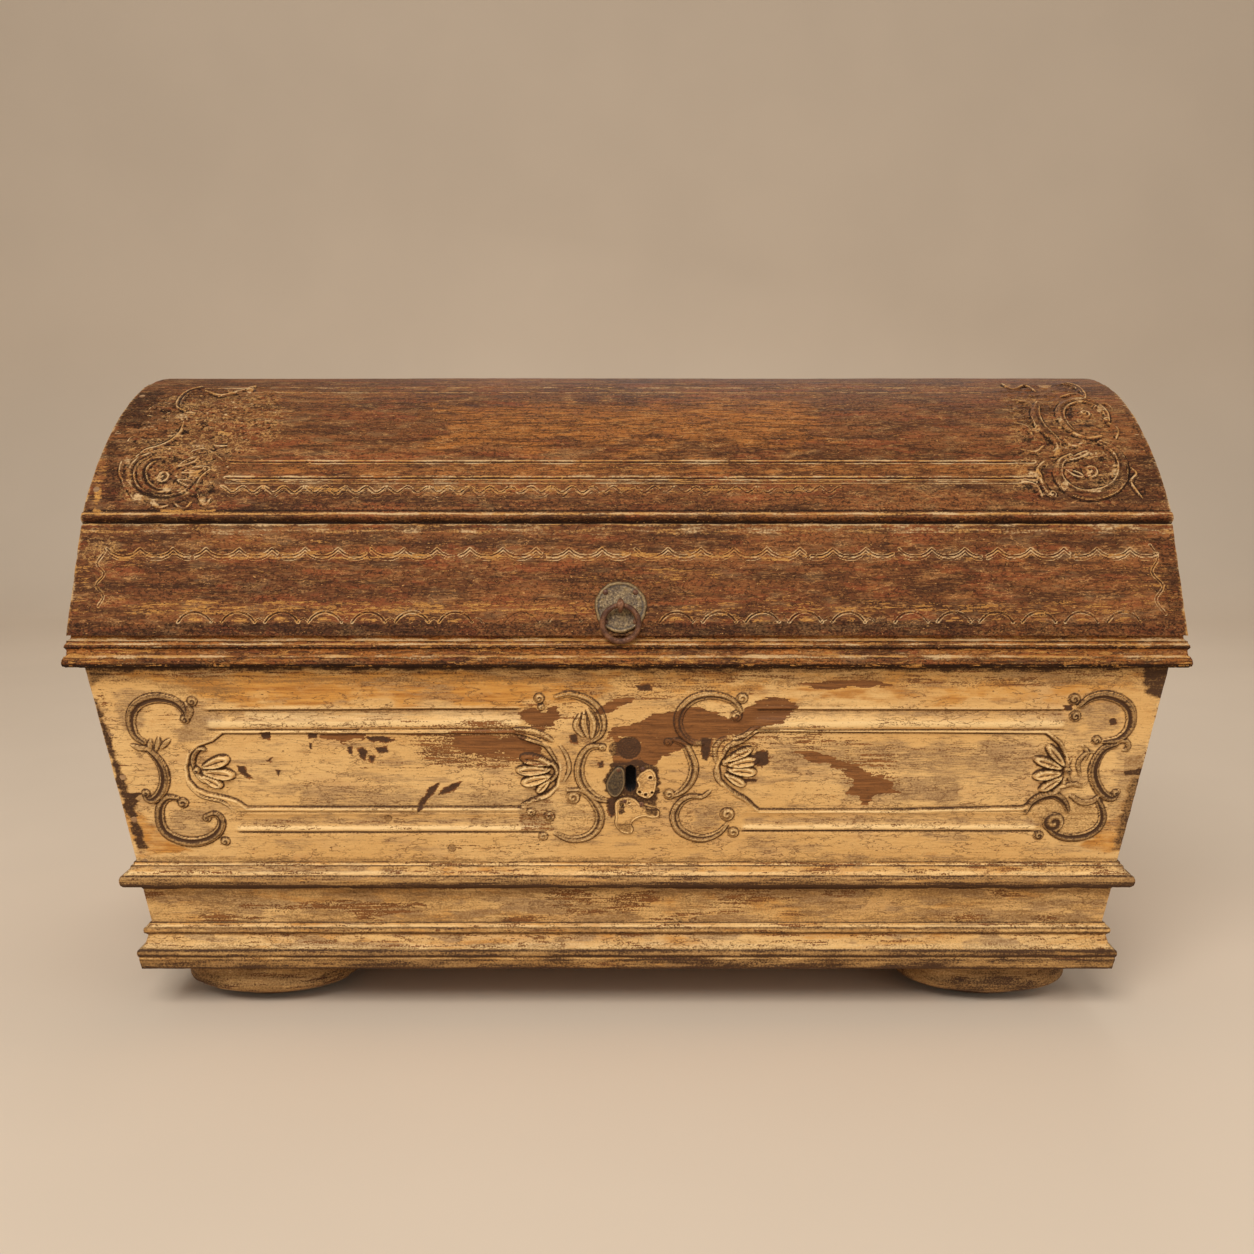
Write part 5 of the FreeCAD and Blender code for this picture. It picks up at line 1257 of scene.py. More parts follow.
def carve_slant(relief):
    relief.tool_marks(0.25)
    first, last, level, pitch = WAVE_LINE
    wave = []
    place = first
    while place < last:
        for share in np.linspace(0, 1, 7)[:-1]:
            lift = abs(share - 0.5) * 2
            wave.append((place + share * pitch, level - WAVE_SAG * lift ** 2.4))
        place += pitch
    for drop, width, depth, wear_and_highlight in ((0.0, 1.0, 1.2, 0.85), (3.4, 0.9, 0.7, 0.72)):
        for part in np.array_split(relief.at(np.array(wave) + np.array([0.0, drop])), 12):
            relief.groove(part, width, depth, wear_and_highlight)
    for pixels in (LEFT_WAVE_PIXELS, RIGHT_WAVE_PIXELS):
        relief.groove(smooth(relief.at(pixels)), 1.0, 1.0, 0.8)
    for start, end, step, faint in ARCH_ROWS:
        middle = start + ARCH_HALF
        while middle < end:
            arch = [(middle + ARCH_HALF * share,
                     ARCH_FOOT - (ARCH_FOOT - ARCH_TOP) * (1 - share ** 2) ** 0.8)
                    for share in np.linspace(1, -1, 11)]
            between = [(middle + ARCH_HALF + (step - 2 * ARCH_HALF) * share,
                        ARCH_FOOT - 3.5 * math.sin(math.pi * share))
                       for share in np.linspace(0, 1, 5)]
            relief.groove(relief.at(arch), 1.1, 1.5 * faint, 0.78 * faint, 0.95)
            relief.groove(relief.at(between), 0.8, 0.7 * faint, 0.7 * faint)
            inner = [(middle + 0.62 * (x - middle), ARCH_FOOT - 0.55 * (ARCH_FOOT - y))
                     for x, y in arch]
            relief.patch(relief.at(inner), "chip", ARCH_FILL * faint, 5.0, 0.8, (9, 3))
            middle += step
    relief.weather(0.9, 1.2)
    relief.regions(SLANT_REGIONS_PIXELS, 0.4, (30, 6))
    relief.patch(relief.at(SLANT_EDGE_PIXELS), "wear_and_highlight", 0.48, 5.0, 1.5, (30, 4))
    bleach(relief, 120, 50, 211, 0.5, 0.2)


def bleach(relief, start, period, seed, middle, run):
    """Golden clouds that grow towards the right."""
    field = rough(relief.along / 160, relief.up / period, seed, 3)
    bleached = ease((relief.along - start) / 500)
    relief.mark("tone", 0.6 * ease((field - middle) / run) * bleached)


def make_slant():
    thirds = zip(("left", "middle", "right"), lengths_of(slant_half, SLANT_SPLITS),
                 (("left", "top"), ("top",), ("right", "top")))
    for name, ends, edges in thirds:
        relief = grid(SLANT, 0, SLANT_UP, ends, SLANT_PITCH, 21)
        carve_slant(relief)
        relief.round_edges(edges, 4.0)
        board("lid_slant_front_" + name, relief, (0, SLANT_ACROSS, 0), LID, "lid_slant_front")


LIP_REACH = 3.0
LIP_HEIGHT = 14.0
DOME_SPLITS = (-400.0, 0.0, 400.0)
DOME_PITCHES = ((1.35, 1.35), (1.7, 1.35), (1.7, 1.35), (1.35, 1.35))
LID_BACK_PITCH = (3.2, 2.6)
DOME_LINES_PIXELS = [
    ([(206, 389), (254, 388), (1007, 388)], 1.3, 0.9),
    ([(254, 393), (620, 393), (980, 393)], 1.0, 0.7),
    ([(228, 462), (620, 462), (1034, 462)], 1.5, 1.2),
    ([(226, 478), (620, 478), (1036, 478)], 1.5, 1.3),
    ([(226, 482), (620, 482), (1036, 482)], 1.0, 0.7),
]
SCALLOP_ROW = (222, 1010, 20.6, 489.5, 3.0)
LID_LEFT = {
    "leaves": [
        ([(122, 462), (121, 474), (126, 484)], 4.4), ([(128, 470), (124, 482), (130, 492)], 4.0),
        ([(130, 492), (136, 500), (147, 504)], 4.4), ([(150, 500), (158, 507), (170, 505)], 4.0),
        ([(174, 503), (184, 508), (192, 502)], 4.2), ([(198, 494), (204, 504), (212, 498)], 4.2),
        ([(128, 442), (134, 438), (144, 441)], 4.0), ([(150, 410), (162, 404), (176, 408)], 5.0),
        ([(148, 416), (160, 418), (170, 413)], 4.2), ([(186, 418), (194, 412), (204, 415)], 4.6),
        ([(190, 432), (200, 428), (206, 420)], 4.2), ([(192, 452), (204, 450), (216, 456),
                                                       (224, 462)], 3.8),
        ([(208, 428), (220, 432), (224, 440)], 4.6), ([(206, 440), (216, 446), (228, 446)], 3.4),
    ],
    "petals": [((176, 468), (200, 458), 7.0), ((180, 474), (208, 468), 7.5), ((176, 480),
                                                                              (196, 486), 7.0)],
    "scrolls": [
        ([(137, 457), (146, 450), (160, 446), (172, 440), (180, 432), (184, 421)], 4.6),
        ([(150, 455), (138, 461), (131, 472), (133, 486), (144, 496), (162, 500), (180, 497),
          (193, 488),
          (201, 477), (210, 470)], 6.6),
        ([(166, 459), (152, 461), (143, 470), (145, 483), (156, 491), (170, 491)], 6.2),
        ([(203, 388), (190, 392), (182, 398), (178, 407), (186, 412)], 4.8),
        ([(206, 392), (222, 396), (240, 392), (256, 387)], 4.2),
    ],
    "volutes": [((163, 477), 10.0), ((184, 421), 6.6), ((139, 458), 5.6), ((206, 470), 6.6),
                ((186, 410), 6.0), ((250, 391), 6.5), ((221, 435), 7.0)],
    "dark": 0.55, "brown": 0.34, "hollow": 0.62,
}
LID_RIGHT = {
    "leaves": [
        ([(1130, 468), (1136, 474), (1131, 482), (1136, 491), (1143, 499)], 3.4),
        ([(1000, 384), (1012, 390), (1024, 386), (1036, 393)], 4.6), ([(1018, 402), (1028, 404),
                                                                       (1034, 412)], 4.0),
        ([(1014, 424), (1026, 428), (1032, 436)], 4.4), ([(1020, 450), (1034, 452),
                                                          (1044, 446)], 4.0),
        ([(1022, 482), (1034, 486), (1042, 496)], 4.6), ([(1040, 478), (1046, 490),
                                                          (1056, 498)], 4.6),
        ([(1108, 424), (1116, 430), (1116, 439)], 4.6), ([(1064, 440), (1072, 446),
                                                          (1082, 444)], 4.4),
        ([(1060, 398), (1074, 395), (1084, 398)], 3.4), ([(1094, 408), (1104, 405),
                                                          (1112, 409)], 3.2),
        ([(1044, 462), (1038, 470), (1042, 478)], 4.0),
    ],
    "petals": [((1066, 462), (1090, 452), 6.0), ((1064, 470), (1084, 478), 6.6)],
    "scrolls": [
        ([(1037, 404), (1035, 414), (1039, 425), (1048, 434), (1056, 442), (1059, 452)], 7.0),
        ([(1100, 437), (1086, 438), (1072, 432), (1062, 421), (1060, 411), (1067, 404), (1081, 401),
          (1095, 405), (1105, 413), (1108, 421)], 6.2),
        ([(1100, 443), (1113, 450), (1121, 461), (1122, 475), (1115, 487), (1100, 494), (1082, 495),
          (1067, 488), (1058, 476), (1060, 463), (1070, 456)], 7.8),
        ([(1045, 382), (1060, 384), (1074, 387), (1083, 394), (1085, 399)], 4.2),
    ],
    "volutes": [((1084, 415), 9.0), ((1090, 472), 11.0), ((1070, 458), 5.6), ((1106, 421), 5.8),
                ((1052, 495), 6.6), ((1058, 452), 5.4)],
    "dark": 0.55, "brown": 0.12, "hollow": 0.42,
}
LID_CARVED_PIXELS = [
    [(150, 398), (205, 388), (278, 392), (285, 430), (240, 455), (232, 480), (205, 506),
     (150, 508), (122, 490),
     (124, 455), (140, 425)],
    [(1000, 392), (1050, 380), (1092, 396), (1118, 430), (1136, 470), (1120, 498), (1060, 502),
     (1020, 498),
     (1012, 450)],
]
# Pale spots on the lid's carving: painted highlights, laid as rubbed paint.
LID_LIGHT_SPOTS_PIXELS = [  # centre and half sizes, in pixels
    (159, 479, 5, 4), (168, 488, 6, 4), (194, 474, 7, 5), (138, 498, 6, 5), (203, 501, 5, 5),
    (155, 504, 5, 3),
    (182, 417, 8, 3), (225, 434, 6, 3.5), (249, 390, 4, 3.5), (191, 414, 5, 2), (216, 470, 4, 2.5),
    (184, 492, 6, 3), (128, 462, 3, 6), (130, 480, 3, 5), (176, 436, 8, 2.5), (200, 446, 7, 2),
    (1044, 386, 8, 2.5), (1078, 400, 8, 3), (1100, 410, 4, 4), (1060, 424, 3, 6), (1036, 430, 6, 3),
    (1056, 452, 4, 5), (1088, 456, 10, 3), (1114, 470, 4, 8), (1092, 492, 10, 3), (1066, 484, 4, 5),
    (1034, 474, 5, 4), (1046, 494, 6, 3), (1088, 474, 4, 3),
]
# Dark spots on the lid's carving: painted shade in its hollows, with dark pegs and dirt.
LID_DARK_SPOTS_PIXELS = [
    (163, 481, 4, 4), (200, 495, 6, 4), (139.5, 426.5, 5, 3), (178, 482, 5, 3),
    (146, 478, 4, 7), (150, 495, 5, 3),
    (176, 459, 5, 3), (166, 412, 6, 2.5), (205, 425, 6, 2.5), (212, 490, 4, 3), (124, 474, 2.5, 8),
    (1070, 414, 4, 6), (1086, 426, 8, 2.5), (1048, 442, 4, 5), (1076, 474, 5, 6), (1100, 482, 6, 4),
    (1102, 460, 5, 4), (1028, 440, 6, 3), (1028, 488, 6, 3), (1128, 470, 3, 9),
]
LID_SQUARE_PEGS_PIXELS = [(1142.5, 492), (137, 426)]
DOME_REGIONS_PIXELS = [
    ([(270, 464), (1030, 464), (1030, 476), (270, 476)], "tone", 0.60, 9.0),
    ([(230, 486), (560, 486), (560, 493), (230, 493)], "chip", 0.40, 7.0),
    ([(600, 486), (820, 486), (820, 493), (600, 493)], "chip", 0.34, 7.0),
    ([(270, 464), (1030, 464), (1030, 472), (270, 472)], "chip", 0.26, 8.0),
    ([(430, 402), (800, 402), (830, 446), (430, 450)], "tone", 0.85, 40.0),
    ([(480, 408), (740, 408), (760, 440), (480, 442)], "chip", 0.22, 30.0),
    ([(870, 396), (1000, 396), (990, 450), (880, 450)], "chip", 0.16, 26.0),
    ([(170, 396), (285, 394), (290, 436), (230, 452), (165, 450)], "stain_and_shade", 0.85, 30.0),
    ([(130, 440), (215, 440), (222, 505), (122, 505)], "stain_and_shade", 0.75, 20.0),
    ([(1000, 398), (1110, 396), (1130, 495), (1010, 490)], "stain_and_shade", 0.65, 26.0),
    ([(760, 470), (1040, 480), (1040, 505), (800, 505)], "stain_and_shade", 0.35, 26.0),
    ([(94, 480), (104, 480), (100, 516), (92, 516)], "chip", 0.50, 7.0),
    ([(96, 458), (108, 458), (108, 480), (94, 480)], "chip", 0.40, 9.0),
    ([(160, 509), (215, 509), (215, 514), (160, 514)], "chip", 0.60, 5.0),
    ([(104, 440), (122, 436), (124, 500), (106, 510)], "grime_and_shade", 0.55, 14.0),
    ([(118, 400), (170, 386), (150, 420), (112, 440)], "grime_and_shade", 0.60, 16.0),
    ([(1120, 400), (1150, 420), (1168, 500), (1140, 500)], "grime_and_shade", 0.45, 16.0),
    ([(240, 498), (1010, 498), (1010, 511), (240, 511)], "grime_and_shade", 0.34, 8.0),
    ([(160, 374), (1110, 374), (1110, 381), (160, 381)], "grime_and_shade", 0.45, 6.0),
]
SQUARE_PEG_HALF = 3.4
LIP_GAP = 4.6
LIP_GAP_DEPTH = 7.0


def square_peg(relief, pixel):
    centre = relief.at([pixel])
    near = relief.near(centre, 3 * SQUARE_PEG_HALF)
    if near.any():
        right, high = relief.along[near] - centre[0, 0], relief.up[near] - centre[0, 1]
        gap = np.maximum(np.abs(right), np.abs(high)) - SQUARE_PEG_HALF
        relief.height[near] -= 0.9 * bell(gap, 0.9)
        relief.mark("grime_and_shade", bell(gap, 1.1), near)


def dome_behind(relief):
    """Offsets to the inside of the dome, with the foot cut level and the ends kept in plane."""
    face = relief.face
    base = face.points(relief.along, relief.up)
    back = base - LID_BOARD * face.normals(relief.along, relief.up)
    low = relief.up <= relief.up.min() + 1e-6
    if abs(relief.up.min() - DOME_FOOT_UP) < 1e-6:
        reach = math.sqrt((face.radius - LID_BOARD) ** 2 - (SLANT_TOP - DOME_CENTRE_Z) ** 2)
        back[low, 1] = DOME_CENTRE_Y - face.side * reach
        back[low, 2] = SLANT_TOP
    rise = back[..., 2] - base[..., 2]
    half = HALF_WIDTH - LID_FACE_INSET - LID_END_LEAN * (base[..., 2] - RAIL_TOP)
    back[..., 0] *= 1 - LID_END_LEAN * rise / half
    return back - base


def lip(relief):
    """Rounded lip along the foot of the dome, over a gap painted dark as shade."""
    rise = DOME_CENTRE_Z + DOME_RADIUS * np.sin(relief.up / DOME_RADIUS) - SLANT_TOP
    share = np.clip((rise - LIP_GAP) / (LIP_HEIGHT - LIP_GAP), 0, 1)
    relief.height += LIP_REACH * np.sqrt(np.clip(1 - (2 * share - 1) ** 2, 0, 1))
    step = bell(rise - LIP_HEIGHT - 1.5, 1.6)
    relief.height -= 0.8 * step
    relief.mark("grime_and_shade", 0.9 * step)
    # Painted highlight on the upper part of the lip.
    relief.mark("wear_and_highlight", 0.75 * bell(rise - 0.75 * LIP_HEIGHT, 2.4))
    under = ease((LIP_GAP - rise) / 1.5 + 0.5)
    relief.height -= LIP_GAP_DEPTH * under
    # The gap and the lower half of the lip are painted dark as shade.
    relief.mark("grime_and_shade", np.maximum(under, 0.6 * ease((0.5 * LIP_HEIGHT - rise) / 4 + 0.5)))
    for layer in ("wear_and_highlight", "chip", "stain_and_shade"):
        relief.layer[layer] *= 1 - under


def scallops(relief):
    """Row of small bows along the foot of the dome, fainter to the right."""
    start, end, step, level, swing = SCALLOP_ROW
    for place in np.arange(start, end, 2 * step):
        faint = 1.0 if place < 560 else 0.75 if place < 810 else 0.4
        for drop, strength in ((0.0, 1.0), (4.2, 0.6)):
            bow = [(place + share * step, level + drop - swing * math.cos(2 * math.pi * share))
                   for share in np.linspace(0, 2, 15)]
            relief.groove(relief.at(bow), 1.05, 1.3 * faint * strength, 0.85 * faint * strength)


def make_dome_front():
    quarters = zip(("left", "middle_left", "middle_right", "right"),
                   lengths_of(dome_half, DOME_SPLITS), DOME_PITCHES,
                   (("left",), (), (), ("right",)))
    for name, ends, pitch, worn_edges in quarters:
        relief = grid(DOME, DOME_FOOT_UP, DOME_SEAM * DOME_RADIUS, ends, pitch, 41)
        relief.tool_marks(0.3)
        for pixels, width, depth in DOME_LINES_PIXELS:
            relief.groove(relief.at(pixels), width, depth, 0.8)
        scallops(relief)
        for pixels, fine in zip(LID_CARVED_PIXELS, (1.1, 0.5)):
            relief.lumps(relief.at(pixels), 1.5, (9.0, 7.0))
            relief.lumps(relief.at(pixels), fine, (4.6, 3.8))
        carve_group(relief, LID_LEFT, -1.0)
        carve_group(relief, LID_RIGHT, -0.4)
        for pixel in LID_SQUARE_PEGS_PIXELS:
            square_peg(relief, pixel)
        relief.weather(0.7, 1.05)
        # Pale spots as painted highlights and dark spots as painted shade.
        for spots, layer, strength in ((LID_LIGHT_SPOTS_PIXELS, "wear_and_highlight", 0.62),
                                       (LID_DARK_SPOTS_PIXELS, "grime_and_shade", 0.75)):
            for x, y, wide, tall in spots:
                oval = [(x + wide * math.cos(turn), y + tall * math.sin(turn))
                        for turn in circle(10)]
                relief.patch(relief.at(oval), layer, strength, 5.0, 2.6, (3, 3))
        relief.regions(DOME_REGIONS_PIXELS, 0.45, (40, 12))
        bleach(relief, 250, 70, 217, 0.45, 0.25)
        lip(relief)
        relief.round_edges(worn_edges, 3.5)
        board("dome_front_board_" + name, relief, dome_behind(relief), LID, "dome_front_board")


def plain_relief(face, low, high, half, pitch, seed, marks):
    relief = grid(face, low, high, lengths_of(half)[0], pitch, seed)
    relief.tool_marks(marks)
    return relief


def make_plain_lid_boards():
    seam, ends = DOME_SEAM * DOME_RADIUS, ("left", "right")
    relief = plain_relief(DOME, seam, (math.pi - DOME_SEAM) * DOME_RADIUS, dome_half,
                          LID_BACK_PITCH, 61, 0.35)
    relief.height -= relief.height.max()
    relief.weather(0.8, 0.9)
    relief.seam(("low", "top"))
    relief.round_edges(ends, 3.5)
    board("dome_ridge_board_worn", relief, dome_behind(relief), LID, "dome_ridge_board")
    relief = plain_relief(DOME_BEHIND, DOME_FOOT_UP, seam, dome_half, LID_BACK_PITCH, 67, 0.35)
    relief.weather(0.8, 0.9)
    lip(relief)
    relief.seam(("top",))
    relief.round_edges(ends, 3.5)
    board("dome_back_board_worn", relief, dome_behind(relief), LID, "dome_back_board")
    relief = plain_relief(SLANT_BEHIND, 0, SLANT_UP, slant_half, LID_BACK_PITCH, 71, 0.35)
    relief.weather(0.8, 0.9)
    relief.round_edges(ends + ("top",), 3.0)
    board("lid_slant_back_board", relief, (0, -SLANT_ACROSS, 0), LID, "lid_slant_back")


# Chest: ends, back and plinth

END_PITCH, PLINTH_PITCH, BACK_PITCH = (2.6, 2.5), (1.9, 1.9), (3.4, 2.8)
PLINTH_LOW_UP = (plinth_low[2] - WALL_LOW) * WALL_RISE


def plain_wall(name, face, low, high, ends, behind, node, seed, edges, pitch):
    relief = grid(face, low, high, ends, pitch, seed)
    relief.tool_marks(0.3)
    relief.weather(0.8, 0.9)
    relief.layer["chip"] = 0.62 * ease((relief.rough(70, 18, 11, 4) - 0.46) / 0.26)
    relief.layer["tone"] = 0.42 * ease((relief.rough(60, 20, 13, 3) - 0.42) / 0.2)
    relief.layer["stain_and_shade"] = 0.8 * ease((relief.rough(50, 9, 17, 4) - 0.42) / 0.2)
    # Darker along the foot of the board and along its top; the band along the top is painted shade
    # under the overhang above.
    darkening = 0.8 * np.exp(-(relief.up - relief.up.min()) / 14)
    darkening = darkening + 0.7 * np.exp(-(relief.up.max() - relief.up) / 8)
    darkening += 0.5 * relief.rough(40, 10, 19, 4)
    relief.mark("grime_and_shade", np.clip(darkening, 0, 0.9))
    relief.round_edges(edges, 2.6)
    board(name, relief, behind, CHEST, node)


def make_plain_walls():
    def front_y(up):
        return NOSE_Y + wall_inset(WALL_LOW + up / WALL_RISE) + WALL_ACROSS

    def back_y(up):
        return back_low[1]

    for side, name in ((-1, "left"), (1, "right")):
        face = Flat((side * wall_half(0), 0, WALL_LOW), (0, side, 0), (side * WALL_LEAN, 0, 1))
        if side < 0:
            ends = (lambda up: -back_y(up), lambda up: -front_y(up))
        else:
            ends = (front_y, back_y)
        for piece, low, high, node, seed, edges in (
                (name + "_end_board", 0, WALL_UP, name + "_end_board", 91, ("top",)),
                ("plinth_" + name, PLINTH_LOW_UP, 0, "plinth_" + name + "_board", 95, ())):
            plain_wall(piece + "_worn", face, low, high, ends, (-side * WALL_ACROSS, 0, 0), node,
                       seed + side, edges, END_PITCH)
    plain_wall("plinth_front_worn", FRONT, PLINTH_LOW_UP, 0, lengths_of(wall_half)[0],
               (0, WALL_ACROSS, 0), "plinth_front_board", 101, (), PLINTH_PITCH)
    face = Flat((0, BACK_Y, WALL_LOW), -X_AXIS, (0, 0, 1))
    for name, node, low, high, seed, edges in (
            ("back_board_worn", "back_board", 0, WALL_TOP - WALL_LOW, 111, ("left", "right",
                                                                            "top")),
            ("plinth_back_worn", "plinth_back_board", plinth_low[2] - WALL_LOW, 0, 113,
             ("left", "right"))):
        plain_wall(name, face, low, high, lengths_of(back_half)[0], (0, back_low[1] - BACK_Y, 0),
                   node, seed, edges, BACK_PITCH)


# Mouldings

MID_SHARES = [(0, 0), (0.16, 0.16), (0.86, 0.22), (0.97, 0.30), (1.0, 0.42), (0.96, 0.52),
              (0.88, 0.60), (0.80, 0.64), (0.58, 0.65), (0.42, 0.70), (0.34, 0.80), (0.28, 0.90),
              (0.12, 0.92), (0.12, 1.0), (0, 1.0)]
BASE_SHARES = [(0, 0), (0.95, 0), (0.97, 0.24), (0.93, 0.27), (1.0, 0.31), (1.0, 0.36),
               (0.97, 0.41),
               (0.93, 0.44), (0.86, 0.46), (0.66, 0.49), (0.52, 0.55), (0.40, 0.64), (0.30, 0.72),
               (0.36, 0.75), (0.46, 0.78), (0.47, 0.83), (0.44, 0.88), (0.38, 0.91), (0.20, 0.93),
               (0.12, 1.0), (0, 1.0)]
RAIL_SHARES = [(0.62, 0), (0.90, 0.05), (1.0, 0.12), (0.97, 0.22), (0.80, 0.34), (0.70, 0.36),
               (0.54, 0.39), (0.48, 0.44), (0.46, 0.52), (0.46, 0.56), (0.56, 0.58), (0.68, 0.61),
               (0.68, 0.66), (0.64, 0.71), (0.54, 0.74), (0.42, 0.76), (0.42, 0.84), (0.16, 0.86),
               (0, 0.90), (0, 1.0)]
REED_PITCH = 4.4
SECTION_PITCH = 0.75
MOULDING_PITCH = 2.3
MID_MOULDING = ("mid_moulding_", MID_SHARES, 20.6, 174.5, 40.5, 121, 0.56)
BASE_MOULDING = ("base_moulding_", BASE_SHARES, 21.8, 66.0, 62.0, 131, 0.46)


def moulding_section(shares, face_at, reach, z_low, height):
    """Section of (inset, z) set close together, with its corners worn slightly round."""
    levels = [z_low + share * height for _, share in shares]
    points = np.array([(face_at(z) - share * reach, z) for (share, _), z in zip(shares, levels)])
    lengths = np.concatenate([[0], np.cumsum(np.linalg.norm(np.diff(points, axis=0), axis=1))])
    steps = np.linspace(0, lengths[-1], int(lengths[-1] / SECTION_PITCH) + 1)
    fine = np.stack([np.interp(steps, lengths, values) for values in points.T], axis=-1)
    for _ in range(2):
        fine[1:-1] = 0.25 * fine[:-2] + 0.5 * fine[1:-1] + 0.25 * fine[2:]
    return fine


def run_of_moulding(name, section, closing, side, far, kind, seed, darkening, loss, reed=0.0):
    """Moulding run along the front (side 0), or along an end as far back as its far end."""
    def ends(inset):
        return (inset - HALF_WIDTH, HALF_WIDTH - inset) if side == 0 else (NOSE_Y + inset, far)

    def place(run, inset, z):
        if side == 0:
            return np.stack([run, NOSE_Y + inset, z], axis=-1)
        return np.stack([side * (HALF_WIDTH - inset), run, z], axis=-1)

    inset, z = section[:, 0], section[:, 1]
    starts, stops = np.array([ends(value) for value in inset]).T
    shape = (len(section), int(np.abs(stops - starts).max() / MOULDING_PITCH) + 1)
    rows, columns = shape
    share = np.linspace(0, 1, columns)
    run = starts[:, None] * (1 - share) + stops[:, None] * share
    slope = np.gradient(section, axis=0)
    tangent = slope / np.linalg.norm(slope, axis=1)[:, None]
    out = np.stack([-tangent[:, 1], tangent[:, 0]], axis=-1)
    bend = np.gradient(np.unwrap(np.arctan2(tangent[:, 1], tangent[:, 0])))
    for _ in range(2):
        bend[1:-1] = (bend[:-2] + bend[1:-1] + bend[2:]) / 3
    level = np.repeat(z[:, None], columns, axis=1)
    distance = np.repeat(np.cumsum(np.hypot(*slope.T))[:, None], columns, axis=1)

    def field(along, across, shift, octaves=3):
        return rough(run / along, distance / across, seed + shift, octaves)

    edge = np.clip(bend, 0, 0.5)[:, None] / 0.5
    flaked = ease((field(16, 4, 41, 4) - 0.55) / 0.03) * ease((field(90, 20, 43, 2) - 0.38) / 0.2)
    drop = 1.9 * ease((field(14, 6, 0) - 0.56) / 0.14) * edge + 0.9 * field(36, 8, 5, 4) ** 1.5
    drop += 0.6 * flaked
    reeds = 0.5 - 0.5 * np.cos(2 * math.pi * distance / REED_PITCH)
    drop += reed * reeds * (0.6 + 0.8 * field(80, 20, 33, 2))
    vertices = place(run, inset[:, None] - drop * out[:, :1], level - drop * out[:, 1:])
    extra = [place(ends(at)[end], at, top) for end in (0, 1) for at, top in closing]
    corner = numbered(rows, columns)
    faces = sheet(corner)
    smooth_count = len(faces)
    count, more = rows * columns, len(closing)
    start, stop = list(range(count, count + more)), list(range(count + more, count + 2 * more))
    if closing:
        faces.append(corner[-1].tolist() + [stop[0], start[0]])
        for index in range(more - 1):
            faces.append([start[index], stop[index], stop[index + 1], start[index + 1]])
        faces.append([start[-1], stop[-1]] + corner[0, ::-1].tolist())
    else:
        faces += quads(corner[-1, :-1], corner[-1, 1:], (corner[0, :-1], corner[0, 1:]))
    faces.append(corner[:, 0].tolist() + start)
    faces.append(corner[::-1, -1].tolist() + stop[::-1])
    # Faces turned down are darkened as painted shade, faces turned up are paled as a painted
    # highlight, and concave corners are darkened.
    under = np.clip(-out[:, 1], 0, 1)[:, None]
    low = np.clip(1.3 * (level.max() - level) / (level.max() - level.min()) - 0.3, 0, 1)
    soiled = darkening * (0.1 + 1.4 * low) * (0.3 + 1.4 * field(45, 9, 21, 4))
    grime_and_shade = 0.9 * (np.clip(-bend, 0, 0.25)[:, None] / 0.25) + 0.2 * reed * reeds + 0.75 * under
    wear_and_highlight = edge * (0.5 + field(16, 6, 9)) * (1 - under)
    wear_and_highlight = np.maximum(wear_and_highlight, 1.1 * reed * (1 - reeds) ** 2 * field(30, 5, 37))
    wear_and_highlight = np.maximum(wear_and_highlight, 1.1 * np.clip(out[:, 1:], 0, 1) * (0.4 + field(40, 6, 29)))
    chip = np.clip(loss + 1.3 * (field(50, 6, 15, 4) - 0.5) + 0.25 * edge, 0, 0.75)
    layers = {
        "grime_and_shade": np.maximum(np.clip(grime_and_shade + soiled, 0, 1), 0.30 * flaked), "wear_and_highlight": wear_and_highlight,
        "chip": np.maximum(chip, 0.42 * flaked),
        "tone": (0.5 + 0.45 * reed) * ease((field(70, 12, 25) - 0.42 + 0.2 * reed) / 0.2),
        "stain_and_shade": 0.8 * ease((field(60, 14, 51) - 0.54) / 0.10) * (1 - reed)}
    for key, values in layers.items():
        flat = np.broadcast_to(values, shape).reshape(-1)
        layers[key] = np.concatenate([flat, np.zeros(2 * more)])
    points = np.vstack([vertices.reshape(-1, 3)] + extra)
    face_outwards(make_object(name + "_worn", points, faces, kind, name, layers, smooth_count))


def make_mouldings():
    sides = ((0, "front"), (-1, "left"), (1, "right"))
    for name, shares, reach, z_low, height, seed, darkening in (MID_MOULDING, BASE_MOULDING):
        section = moulding_section(shares, wall_inset, reach, z_low, height)
        for side, word in sides:
            run_of_moulding(name + word, section, [], side, BACK_Y, CHEST,
                            seed + 3 + side if side else seed, darkening, 0.16)
    section = moulding_section(RAIL_SHARES, lambda z: 10.0, 10.0, RAIL_FOOT, RAIL_TOP - RAIL_FOOT)
    width = rail_high[1] - rail_low[1]
    closing = [(width, RAIL_TOP), (width, RAIL_FOOT)]
    for side, word in sides:
        run_of_moulding("lid_rail_" + word, section, closing, side,
                        node_box("lid_rail_left")[1][1], LID, 145 + side if side else 141,
                        0.16, 0.12, 0.55)


# Feet

FOOT_PIECE_SECTION = [(70, 0), (76, 1.0), (86, 4), (95, 8), (101, 12), (107, 15), (114, 18),
                      (119, 22),
                      (121, 28), (121, 36), (119, 46), (117, 56), (116, 66)]
FOOT_TURNS = 144
FOOT_SQUARE = 3.0
FOOT_RADIUS = 110.0


